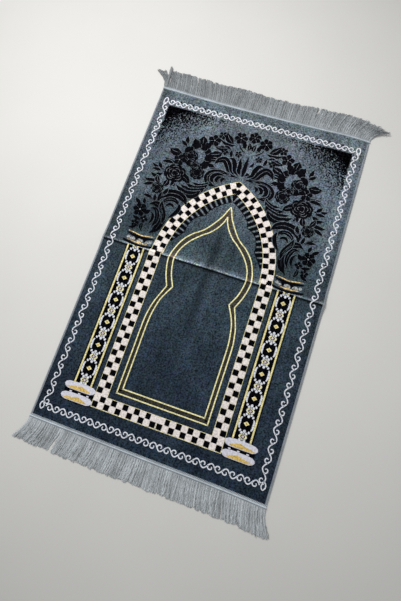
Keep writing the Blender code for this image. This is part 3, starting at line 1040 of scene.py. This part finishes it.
def make_bases():
    """The two pale rounded bars with gold wedges under each column."""
    bars, gold, black = Inlay(), Inlay(), Inlay()
    for drop in (0, -30.5):
        bars.add(draw_block(BASE_BAR, soften=0.0012), at(0, drop))
        gold.add(draw_block(BASE_WEDGE, height=STITCH_PILE), at(0, drop + 0.8))
    shadow = square(-233, -447.5, 88, 9.5)
    black.add(draw_block(shadow, height=LOW_PILE, soften=0.0))
    for x in (-258, -232, -207):
        bars.add(draw_round(4.2, 2.2, height=SPOT_PILE, sides=8), at(x, -449.5))
    black.add(draw_stroke([(-276, -474.6), (-233, -475.4), (-192, -474.2)], (2, 3.5, 2), step=12))
    return [bars.lay("base_bars", LAVENDER), gold.lay("base_gold", GOLD), black.lay("base_black", BLACK)]


# ------------------------------------------------------------------ flowers over the arch
TOP_PILE = 0.0018             # flowers and roses lie over every leaf and blade
VEIN_PILE = 0.0021
RANK_STEP = 0.000015          # how much higher each leaf or blade lies than the one before
RIM_DROP = 0.000008           # how much lower its slate rim lies than itself, and how much broader it is
RIM_GROWTH = 2.7
BLADE_FULLNESS = 1.27         # how full the blades and leaves are drawn
LEAF_FULLNESS = 1.20
WREATH = (-153, 346)
WREATH_LOBES = 9
ROSE_LOBES = 9
GRAND_ROSE = 30               # a rose broader than this gets pale contours
Flower = namedtuple("Flower", "x y radius petals turn")
Leaf = namedtuple("Leaf", "x y tip_x tip_y bow wide vein", defaults=[False])
Blade = namedtuple("Blade", "route wide vein", defaults=[False])
Rose = namedtuple("Rose", "x y across along turn")
FLOWERS = [
    Flower(-41, 444, radius=21, petals=6, turn=10),
    Flower(-119, 412, radius=21, petals=5, turn=20),
    Flower(-98, 437, radius=14, petals=5, turn=0),
    Flower(-33, 388, radius=11, petals=5, turn=0),
    Flower(-204, 316, radius=19, petals=5, turn=15),
    Flower(-264, 122, radius=22, petals=6, turn=0),
    Flower(-264, 76, radius=12, petals=5, turn=20),
    Flower(-242, 96, radius=12, petals=4, turn=0),
    Flower(-76, 384, radius=11, petals=4, turn=10),
]
ROSES = [
    Rose(-202, 268, across=38, along=32, turn=0),
    Rose(-137, 290, across=24, along=24, turn=25),
    Rose(-174, 338, across=25, along=23, turn=0),
    Rose(-238, 205, across=20, along=19, turn=40),
    Rose(-150, 312, across=18, along=14, turn=0),
]
LEAVES = [
    Leaf(-58, 418, -89, 452, bow=0.1, wide=21, vein=True),
    Leaf(-50, 414, -104, 424, bow=0.14, wide=11),
    Leaf(-66, 404, -112, 392, bow=0.1, wide=17, vein=True),
    Leaf(-60, 396, -86, 402, bow=-0.1, wide=9),
    Leaf(-56, 396, -50, 370, bow=-0.08, wide=10),
    Leaf(-12, 396, -44, 430, bow=0.1, wide=5),
    Leaf(-18, 410, -24, 440, bow=0.08, wide=13),
    Leaf(-8, 408, -12, 436, bow=-0.1, wide=13, vein=True),
    Leaf(-82, 378, -124, 362, bow=0.1, wide=24, vein=True),
    Leaf(-150, 384, -156, 418, bow=0.0, wide=26, vein=True),
    Leaf(-160, 382, -180, 402, bow=0.12, wide=20),
    Leaf(-142, 384, -128, 402, bow=-0.12, wide=20),
    Leaf(-112, 344, -84, 350, bow=0.05, wide=14, vein=True),
    Leaf(-114, 330, -88, 322, bow=-0.05, wide=14),
    Leaf(-196, 374, -204, 404, bow=0.05, wide=12),
    Leaf(-196, 368, -220, 384, bow=0.0, wide=11),
    Leaf(-204, 342, -246, 346, bow=0.1, wide=24, vein=True),
    Leaf(-212, 304, -250, 312, bow=0.1, wide=14),
    Leaf(-216, 298, -258, 294, bow=-0.1, wide=11),
    Leaf(-238, 272, -284, 284, bow=0.1, wide=11),
    Leaf(-246, 272, -262, 292, bow=0.05, wide=11),
    Leaf(-246, 264, -278, 264, bow=-0.05, wide=10),
    Leaf(-238, 256, -270, 244, bow=0.05, wide=12),
    Leaf(-246, 240, -276, 250, bow=0.05, wide=11),
    Leaf(-244, 232, -290, 226, bow=0.08, wide=12),
    Leaf(-254, 218, -286, 204, bow=0.0, wide=11),
    Leaf(-238, 222, -252, 248, bow=0.1, wide=14, vein=True),
    Leaf(-224, 216, -216, 246, bow=-0.12, wide=17, vein=True),
    Leaf(-204, 240, -188, 222, bow=0.05, wide=11),
    Leaf(-196, 244, -202, 222, bow=0.0, wide=10),
    Leaf(-238, 164, -264, 184, bow=0.05, wide=11),
    Leaf(-242, 168, -274, 172, bow=-0.05, wide=10),
    Leaf(-230, 160, -236, 186, bow=0.05, wide=10),
    Leaf(-268, 140, -290, 156, bow=0.05, wide=11),
    Leaf(-258, 142, -264, 164, bow=0.0, wide=10),
    Leaf(-246, 112, -232, 130, bow=0.0, wide=13),
    Leaf(-250, 90, -280, 98, bow=0.05, wide=10),
    Leaf(-242, 84, -236, 56, bow=-0.1, wide=11, vein=True),
    Leaf(-254, 70, -280, 56, bow=0.05, wide=9),
]
BLADES = [
    # palmette over the point of the arch
    Blade([(-7, 320), (-16, 334), (-17, 352), (-23, 377)], wide=12),
    Blade([(-12, 316), (-29, 330), (-33, 349), (-42, 365), (-56, 368)], wide=13),
    Blade([(-15, 311), (-40, 322), (-52, 342), (-67, 357), (-84, 350), (-95, 333)], wide=19, vein=True),
    Blade([(-8, 310), (-40, 312), (-72, 317), (-106, 316)], wide=10),
    # curl beside the palmette
    Blade([(-34, 311), (-62, 314), (-88, 306), (-101, 290), (-98, 275), (-84, 264), (-64, 262)],
          wide=18, vein=True),
    Blade([(-50, 306), (-71, 304), (-85, 294), (-86, 280), (-75, 271)], wide=12),
    Blade([(-54, 299), (-68, 294), (-72, 284), (-66, 276)], wide=10),
    Blade([(-46, 297), (-56, 290), (-54, 280)], wide=9),
    # fan of blades against the arch
    Blade([(-93, 272), (-98, 259), (-116, 251), (-142, 254)], wide=11),
    Blade([(-92, 262), (-104, 246), (-130, 238), (-160, 247)], wide=14, vein=True),
    Blade([(-97, 249), (-112, 232), (-142, 225), (-174, 238)], wide=17, vein=True),
    Blade([(-106, 236), (-122, 218), (-150, 212), (-186, 232)], wide=21, vein=True),
    Blade([(-184, 264), (-168, 262), (-148, 247)], wide=19, vein=True),
    # arched scroll
    Blade([(-222, 156), (-217, 182), (-197, 198), (-168, 202), (-146, 192), (-133, 177)],
          wide=22, vein=True),
    Blade([(-215, 184), (-209, 198), (-205, 214)], wide=11),
    Blade([(-206, 154), (-200, 172), (-182, 182), (-164, 178), (-153, 165)], wide=12, vein=True),
    Blade([(-194, 150), (-186, 163), (-174, 164), (-167, 155)], wide=8),
    Blade([(-156, 176), (-151, 160), (-158, 140), (-174, 118)], wide=11),
    # comma-shaped scroll over the capital
    Blade([(-244, 146), (-226, 154), (-207, 146), (-193, 122), (-190, 96), (-198, 72), (-213, 56)],
          wide=22, vein=True),
    Blade([(-234, 137), (-218, 137), (-207, 120), (-205, 98), (-213, 76)], wide=12, vein=True),
    Blade([(-228, 124), (-219, 114), (-218, 98), (-224, 84)], wide=8),
    Blade([(-208, 170), (-203, 148), (-188, 122), (-184, 96)], wide=14, vein=True),
]


def along_arc(middle, radius, start, end, count):
    """Places along an arc, in millimetres and degrees."""
    angles = np.radians(np.linspace(start, end, count))
    x, y = middle
    return [(x + radius * math.cos(angle), y + radius * math.sin(angle)) for angle in angles]


class Spray:
    """The flowers over the arch: dark shapes, slate rims and veins that part them, and pale contours."""

    def __init__(self):
        self.dark = Inlay()
        self.edges = Inlay()
        self.contours = Inlay()
        self.rank = 0

    def part(self, route, widths):
        """Lay a dark shape over those before it, with a slate rim that parts it from them."""
        self.rank += 1
        height = FIGURE_PILE + RANK_STEP * self.rank
        rim = [width + RIM_GROWTH for width in widths]
        self.edges.add(draw_stroke(route, rim, height=height - RIM_DROP))
        self.dark.add(draw_stroke(route, widths, height=height))

    def vein(self, route, width=1.7):
        """A slate line along the middle of a shape."""
        self.edges.add(draw_stroke(route, (0.8, width, 0.7), height=VEIN_PILE, step=5))

    def flower(self, row, mirrored=True):
        """Round petals about a pale heart."""
        middle = at(row.x, row.y)
        petal = draw_round(0.47 * row.radius, 0.37 * row.radius, height=TOP_PILE)
        split = [(0.30 * row.radius, 0), (0.80 * row.radius, 0)]
        split = draw_stroke(split, (1.2, 0.8), height=VEIN_PILE)
        for k in range(row.petals):
            turn = row.turn + 360 / row.petals * k
            self.dark.add(petal, at(row.x, row.y, turn) @ at(0.54 * row.radius, 0), mirrored)
            self.edges.add(split, at(row.x, row.y, turn + 180 / row.petals), mirrored)
        heart = draw_round(0.30 * row.radius, 0.30 * row.radius, height=TOP_PILE)
        self.dark.add(heart, middle, mirrored)
        seed = draw_round(0.15 * row.radius, 0.15 * row.radius, height=VEIN_PILE, sides=7)
        self.contours.add(seed, middle, mirrored)

    def leaf(self, row):
        """A pointed leaf on a bowed line, with its midrib where it is broad."""
        root, tip = Vector((row.x, row.y)), Vector((row.tip_x, row.tip_y))
        way = tip - root
        aside = Vector((-way.y, way.x)) * row.bow
        route = [root, root + way * 0.33 + aside, root + way * 0.67 + aside, tip]
        wide = LEAF_FULLNESS * row.wide
        self.part(route, (1.4, 0.85 * wide, wide, 0.65 * wide, 0.6))
        if row.vein:
            self.vein([root + way * 0.15 + aside * 0.6, root + way * 0.45 + aside * 1.05,
                       root + way * 0.8 + aside * 0.7])

    def blade(self, row):
        """A long blade along its own curve, broad in the middle, with a slit along its back."""
        wide = BLADE_FULLNESS * row.wide
        self.part(row.route, (1.2, 0.70 * wide, wide, 0.95 * wide, 0.75 * wide, 1.2))
        if row.vein:
            places, _ = smooth_route(row.route, 6)
            places = places[1 + len(places) // 8:-1 - len(places) // 8]
            self.vein(places[::2], width=1.6)

    def rose(self, row):
        """A full rose: scalloped petals, with contours curling to its heart."""
        middle = at(row.x, row.y, row.turn)
        disc = draw_round(0.80 * row.across, 0.80 * row.along, height=TOP_PILE + 0.00015, sides=16)
        self.dark.add(disc, middle)
        lobe = draw_round(0.28 * row.across, 0.23 * row.along, height=TOP_PILE, sides=8)
        for k in range(ROSE_LOBES):
            turn = 360 / ROSE_LOBES * k
            angle = math.radians(turn)
            spot = (0.76 * row.across * math.cos(angle), 0.76 * row.along * math.sin(angle))
            self.dark.add(lobe, middle @ at(*spot, turn=turn + 90))
        grand = row.across > GRAND_ROSE
        widths = (1.2, 2.5, 1.2) if grand else (0.8, 1.7, 0.8)
        for ring in range(3 if grand else 2):
            reach = 0.66 - 0.22 * ring
            curls = 5 - ring
            for k in range(curls):
                start = 360 / curls * k + 37 * ring
                route = []
                for share in np.linspace(0, 1, 5):
                    angle = math.radians(start + (330 / curls - 18) * share)
                    bulge = reach + 0.09 * math.sin(math.pi * share)
                    route.append((bulge * row.across * math.cos(angle),
                                  bulge * row.along * math.sin(angle)))
                line = draw_stroke(route, widths, height=VEIN_PILE, step=3)
                (self.contours if grand else self.edges).add(line, middle)


def make_flower_spray():
    """The spray of roses, flowers, leaves and scrolls that frames the arch."""
    random.seed(19)
    spray = Spray()
    stem = draw_stroke([(0, 318), (0, 350), (0, 386)], (5, 13, 11, 2), height=TOP_PILE)
    spray.dark.add(stem, mirrored=False)
    for row in LEAVES:
        spray.leaf(row)
    for row in BLADES:
        spray.blade(row)
    crinkle = draw_stroke([(22, 5), (31, 1), (40, 6)], (0.8, 1.6, 0.8), height=VEIN_PILE)
    for k in range(WREATH_LOBES):                # lobed wreath behind the roses
        petal = draw_round(random.uniform(14, 19), random.uniform(10, 14), height=TOP_PILE + 0.00001 * k)
        turn = 360 / WREATH_LOBES * k + random.uniform(-8, 8)
        place = at(*WREATH, turn) @ at(random.uniform(32, 39), 0, random.uniform(60, 120))
        spray.dark.add(petal, place)
        spray.edges.add(crinkle, at(*WREATH, turn + random.uniform(6, 22)))
    ring = along_arc(WREATH, 33, -170, 185, count=13)
    spray.dark.add(draw_stroke(ring, (13, 7, 14, 8, 13), height=TOP_PILE - 0.00005, step=5))
    spray.flower(Flower(0, 457, radius=20, petals=6, turn=30), mirrored=False)
    for row in FLOWERS:
        spray.flower(row)
    for row in ROSES:
        spray.rose(row)
    return [spray.dark.lay("spray_dark", BLACK), spray.edges.lay("spray_edges", EDGE_SLATE),
            spray.contours.lay("spray_contours", SLATE_VEIN)]


# ------------------------------------------------------------------ threads
def draw_thread(places, radius, sides=5):
    """A round thread through places in metres."""
    places = [Vector(place) for place in places]
    bm = bmesh.new()
    bmesh.ops.create_circle(bm, cap_ends=True, segments=sides, radius=1.0)
    face = bm.faces[:][0]
    spokes = [vert.co.copy() for vert in face.verts]
    last = len(places) - 1
    for k, place in enumerate(places):
        if k:
            face = carry_on(bm, face, first=k == 1)
        ahead = (places[min(k + 1, last)] - places[max(k - 1, 0)]).normalized()
        aside = ahead.cross(Vector((0, 0, 1))).normalized()
        above = aside.cross(ahead)
        for vert, spoke in zip(face.verts, spokes):
            vert.co = place + (aside * spoke.x + above * spoke.y) * radius
    return take_shape(bm)


WHIP_PITCH = 0.0024
WHIP_RADIUS = 0.00085
Bend = namedtuple("Bend", "inward along z")
WHIP_TURN = [                  # one turn of the thread, over the edge from the pile side to the back
    Bend(0.0056, 0.0000, 0.0026),
    Bend(0.0044, 0.0006, 0.0033),
    Bend(0.0024, 0.0014, 0.0035),
    Bend(0.0009, 0.0021, 0.0028),
    Bend(0.0008, 0.0026, 0.0017),
    Bend(0.0022, 0.0032, 0.0010),
    Bend(0.0045, 0.0038, 0.0010),
]


def make_side_binding(name, node, side):
    """Light grey thread whipped over one long edge, each turn slanting into the next."""
    turns = Inlay()
    thread = draw_thread([(-bend.inward, bend.along, bend.z) for bend in WHIP_TURN], WHIP_RADIUS)
    low = float(end_y("foot", side * HALF_WIDTH)) + 0.0005
    high = float(end_y("head", side * HALF_WIDTH)) - 0.0045
    count = int((high - low) / WHIP_PITCH)
    for k in range(count):
        y = low + (high - low) * k / count
        place = Matrix.Translation((float(side_x(side, y)), y, 0)) @ Matrix.Diagonal((side, 1, 1, 1))
        turns.add(thread, place, mirrored=False)
    piece = turns.lay(name, THREAD, slot="binding_thread", on_cloth=False)
    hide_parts(node)
    return piece


# ------------------------------------------------------------------ fringes
ROOT_OUT = 0.0105              # how far beyond the cloth's end a strand starts, under the tape
TAPE_SECTION = [(0.0003, 0.0002), (0.0003, 0.0026), (0.0050, 0.0030), (0.0120, 0.0021), (0.0125, 0.0002)]
CORD_PLIES = 3
CORD_TURNS = 110
CORD_STATIONS = 7              # in one turn of a ply
TICKS = 196                    # short threads that whip the foot's cord down
TICK_PITCH = 0.0035
STRANDS = 1500
STRAND_LENGTH = 0.068          # of most strands
STRAND_PARTS = 12
BUNCHES = 104
BUNCH_GAP_SHADE = 0.34               # painted shade: how much darker the yarn is between two bunches
PARTING = {"head": -0.322, "foot": -0.242}     # where the strands part, and how near to it they lean away
PARTING_REACH = 0.009
PARTING_LEAN = 7.0
STRAY = 14                     # strands of the tuft that stands out past the head's left corner
STRAY_X = -0.3375
STRAY_WIDTH = 0.0045
CRIMP = 26.0                   # radians of crimp in one strand
FOOT_PAINTED_LIGHT = 1.46              # painted light: the foot's yarn is made lighter, in place of the light that falls off towards the foot


def draw_tape(column, way):
    """The heading that the strands hang from, along one end of the cloth."""
    bm = bmesh.new()
    face = bm.faces.new([bm.verts.new((0, 0, 0)) for _ in TAPE_SECTION])
    for k, x in enumerate(np.linspace(-HALF_WIDTH, HALF_WIDTH, 90)):
        if k:
            face = carry_on(bm, face, first=k == 1)
        for vert, (out, z) in zip(face.verts, TAPE_SECTION):
            vert.co = (x, end_y(column, x) + way * out, z)
    return take_shape(bm)


def draw_strand():
    """A straight strand one unit long, to be bent into place."""
    return draw_thread([(0, k / STRAND_PARTS, 0) for k in range(STRAND_PARTS + 1)], 1.0, sides=4)


def bend_strand(shape, root, way, lean, length, low, wave, phase, radius):
    """A strand laid from its root: leaning over along its length, waving and settling to the floor."""
    points, faces = shape
    share = points[:, 1]
    angle = np.radians(lean) * np.interp(share, (0, 0.30, 0.72, 1.0), (0.20, 0.55, 1.0, 1.15))
    sway = wave * (np.sin(phase + 6.0 * share) * share + 0.8 * np.sin(3 * phase + CRIMP * share))
    taper = radius * (1 - 0.15 * share ** 3)
    x = root[0] + length * share * np.sin(angle) + sway + points[:, 0] * taper * 1.15
    y = root[1] + way * (length * share * np.cos(angle))
    z = root[2] + (low - root[2]) * np.minimum(1, 2.2 * share) ** 1.5 + points[:, 2] * taper * 0.8
    if way < 0:
        faces = [face[::-1] for face in faces]
    return np.column_stack([x, y, z]), faces


def draw_cord(column, way):
    """The plies of the twisted cord that is sewn along the heading."""
    stations = CORD_TURNS * CORD_STATIONS
    out = 0.0032 if way > 0 else 0.0060
    for ply in range(CORD_PLIES):
        route = []
        for k in range(stations + 1):
            x = -HALF_WIDTH + 2 * HALF_WIDTH * k / stations
            angle = math.tau * (k / CORD_STATIONS + ply / CORD_PLIES)
            y = float(end_y(column, x)) + way * (out + 0.00105 * math.cos(angle))
            route.append((x, y, 0.0032 + 0.00085 * math.sin(angle)))
        yield draw_thread(route, 0.00115)


def draw_ticks(column):
    """The slanting threads that whip the foot's cord down."""
    for k in range(TICKS):
        x = -HALF_WIDTH + TICK_PITCH * k + 0.0005
        y = float(end_y(column, x))
        if -HALF_WIDTH + 0.0035 < x < HALF_WIDTH - 0.001:
            yield draw_thread([(x, y + 0.0010, 0.0030), (x - 0.0010, y - 0.0008, 0.0037),
                               (x - 0.0032, y - 0.0050, 0.0034)], 0.0007)


def lay_strands(column, way, lies):
    """The loose yarn strands of one fringe, and how light each of their points is, painted shade and
    painted light included.
    """
    random.seed(31 if way > 0 else 47)
    strands = Inlay()
    shades = []
    strand = draw_strand()
    lean_of = [random.uniform(-2.6, 2.6) for _ in range(BUNCHES + 2)]
    length_of = [random.uniform(-0.0034, 0.0022) for _ in range(BUNCHES + 2)]
    clump_of = [random.uniform(0.84, 1.14) for _ in range(3 * BUNCHES + 2)]
    for k in range(STRANDS):
        share = (k + 0.5) / STRANDS
        x = HALF_WIDTH * (2 * share - 1) + random.uniform(-0.0006, 0.0006)
        bunch = int(share * BUNCHES + random.uniform(-0.3, 0.3)) + 1
        centre = HALF_WIDTH * (2 * (bunch - 0.5) / BUNCHES - 1)
        pull = math.degrees((centre - x) / STRAND_LENGTH) * random.uniform(0.2, 0.9)
        lean = float(read_table(lies, "lean", x)) + lean_of[bunch] + pull + random.uniform(-3.6, 3.6)
        aside = (x - PARTING[column]) / PARTING_REACH
        lean += math.copysign(PARTING_LEAN, aside) * math.exp(-aside * aside)
        length = float(read_table(lies, "length", x)) + length_of[bunch] + random.uniform(-0.0026, 0.0010)
        raised = max(0.0, float(read_table(lies, "lift", x)))
        layer = k % 3
        root = (x, float(end_y(column, x)) + way * ROOT_OUT, 0.0009 + 0.0006 * layer)
        low = 0.0008 + 0.0007 * layer + raised
        bent = bend_strand(strand, root, way, lean, length, low, random.uniform(0.0004, 0.0020),
                           random.uniform(0, math.tau), random.uniform(0.00062, 0.00090))
        strands.add(bent, mirrored=False)
        clump_and_painted_light = clump_of[int(share * 3 * BUNCHES)]
        # painted shade between bunches
        clump_and_painted_light *= 1.10 - BUNCH_GAP_SHADE * min(1.2, abs(x - centre) * BUNCHES / HALF_WIDTH) ** 2
        # painted shade darkens the head's strands towards the left, where the lamp is strongest; painted
        # light lightens the foot's
        clump_and_painted_light *= 0.735 + 0.435 * share if way > 0 else FOOT_PAINTED_LIGHT
        # painted shade: the lower layers of strands are darker
        shades.append(random.uniform(0.74, 1.18) * (0.80 + 0.11 * layer) * clump_and_painted_light)
    for k in range(STRAY if way > 0 else 0):
        x = STRAY_X + STRAY_WIDTH * k / STRAY
        root = (x, float(end_y(column, x)) + ROOT_OUT, 0.0030)
        bent = bend_strand(strand, root, way, random.uniform(-6.0, -2.0), random.uniform(0.070, 0.077),
                           0.0042, random.uniform(0.0004, 0.0014), random.uniform(0, math.tau), 0.00080)
        strands.add(bent, mirrored=False)
        shades.append(random.uniform(0.60, 0.90))
    return strands, np.repeat(shades, len(strand[0])).astype(np.float32)


def make_fringe(name, node, column, way, lies):
    """One fringe: its heading tape, the twisted cord on it, and the loose yarn strands."""
    heading, cord = Inlay(), Inlay()
    heading.add(draw_tape(column, way), mirrored=False)
    for ply in draw_cord(column, way):
        cord.add(ply, mirrored=False)
    for tick in draw_ticks(column) if way < 0 else ():
        cord.add(tick, mirrored=False)
    strands, shades = lay_strands(column, way, lies)
    pieces = [inlay.lay(name + part, material, slot="fringe_yarn", on_cloth=False) for part, inlay, material
              in (("_heading", heading, HEADING), ("_cord", cord, CORD), ("_strands", strands, FRINGE))]
    loose = pieces[-1]
    loose.data.attributes.new("shade", "FLOAT", "POINT").data.foreach_set("value", shades)
    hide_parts(node)
    return pieces


# ------------------------------------------------------------------ floor, light and camera
FLOOR_PAINT = (0.800, 0.785, 0.755)
FLOOR_DROP = 0.0002             # how far the floor lies below the cloth, so that they don't touch


def make_floor():
    """A plain pale floor, with painted shade that makes it a little darker away from the rug."""
    bm = bmesh.new()
    bmesh.ops.create_grid(bm, x_segments=2, y_segments=2, size=4.0)
    mesh = bpy.data.meshes.new("floor")
    bm.to_mesh(mesh)
    bm.free()
    floor = bpy.data.objects.new("floor", mesh)
    floor.location.z = -FLOOR_DROP
    bpy.context.scene.collection.objects.link(floor)
    material = bpy.data.materials.new("pale_floor")
    material.use_nodes = True
    tree = material.node_tree
    shader = tree.nodes["Principled BSDF"]
    place = add_node(tree, "TexCoord").outputs["Object"]
    away = add_node(tree, "VectorMath", {"operation": "DOT_PRODUCT"}, i0=place, i1=place).outputs["Value"]
    # painted shade: the floor darkens away from the rug's middle, in place of the light's falloff
    painted_falloff = remap(tree, away, 0.0, 1.5, 1.0, 0.70)
    tone = multiply(tree, painted_falloff, uneven(tree, place, 0.975, 1.02, 2.2, 3.0))
    tree.links.new(shade_colour(tree, FLOOR_PAINT, tone), shader.inputs["Base Color"])
    shader.inputs["Roughness"].default_value = 0.9
    shader.inputs["Specular IOR Level"].default_value = 0.1
    mesh.materials.append(material)
    floor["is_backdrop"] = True


def make_light(name, place, aim, size, power):
    """A square soft light."""
    data = bpy.data.lights.new(name, "AREA")
    data.size = size
    data.energy = power
    light = bpy.data.objects.new(name, data)
    light.location = place
    light.rotation_euler = (Vector(aim) - Vector(place)).to_track_quat("-Z", "Y").to_euler()
    bpy.context.scene.collection.objects.link(light)


def make_studio():
    """Soft light from the head's left, a little fill from all round, and the camera above."""
    scene = bpy.context.scene
    make_floor()
    make_light("soft_window", (-1.21, 1.15, 1.82), (0, 0, 0), 1.0, 44)
    world = bpy.data.worlds.new("studio_fill")
    world.use_nodes = True
    world.node_tree.nodes["Background"].inputs["Color"].default_value = (0.97, 0.99, 1.0, 1)
    world.node_tree.nodes["Background"].inputs["Strength"].default_value = 0.41
    scene.world = world
    scene.view_settings.view_transform = "Standard"
    data = bpy.data.cameras.new("camera")
    data.sensor_fit = "VERTICAL"
    data.sensor_height = 36
    data.lens = 24
    camera = bpy.data.objects.new("camera", data)
    camera.location = (0.1345, -0.3082, 1.1335)
    camera.rotation_euler = [math.radians(angle) for angle in (12.319, 2.714, 18.761)]
    scene.collection.objects.link(camera)
    scene.camera = camera


# ------------------------------------------------------------------ the rug
make_studio()
ground = make_velvet_ground()
pattern = make_scroll_border() + make_corner_stipple() + make_checker_band() + make_arch_soffit()
pattern += make_arch_lines() + make_columns() + make_capitals() + make_bases() + make_flower_spray()
bindings = [make_side_binding("binding_left", "side_binding_left", -1),
            make_side_binding("binding_right", "side_binding_right", 1)]
fringes = make_fringe("fringe_at_head", "fringe_head", "head", 1, HEAD_LIES)
fringes += make_fringe("fringe_at_foot", "fringe_foot", "foot", -1, FOOT_LIES)

boxes = {"cad": cad_box, "visual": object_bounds()}
{name: [list(corner) for corner in box] for name, box in boxes.items()}
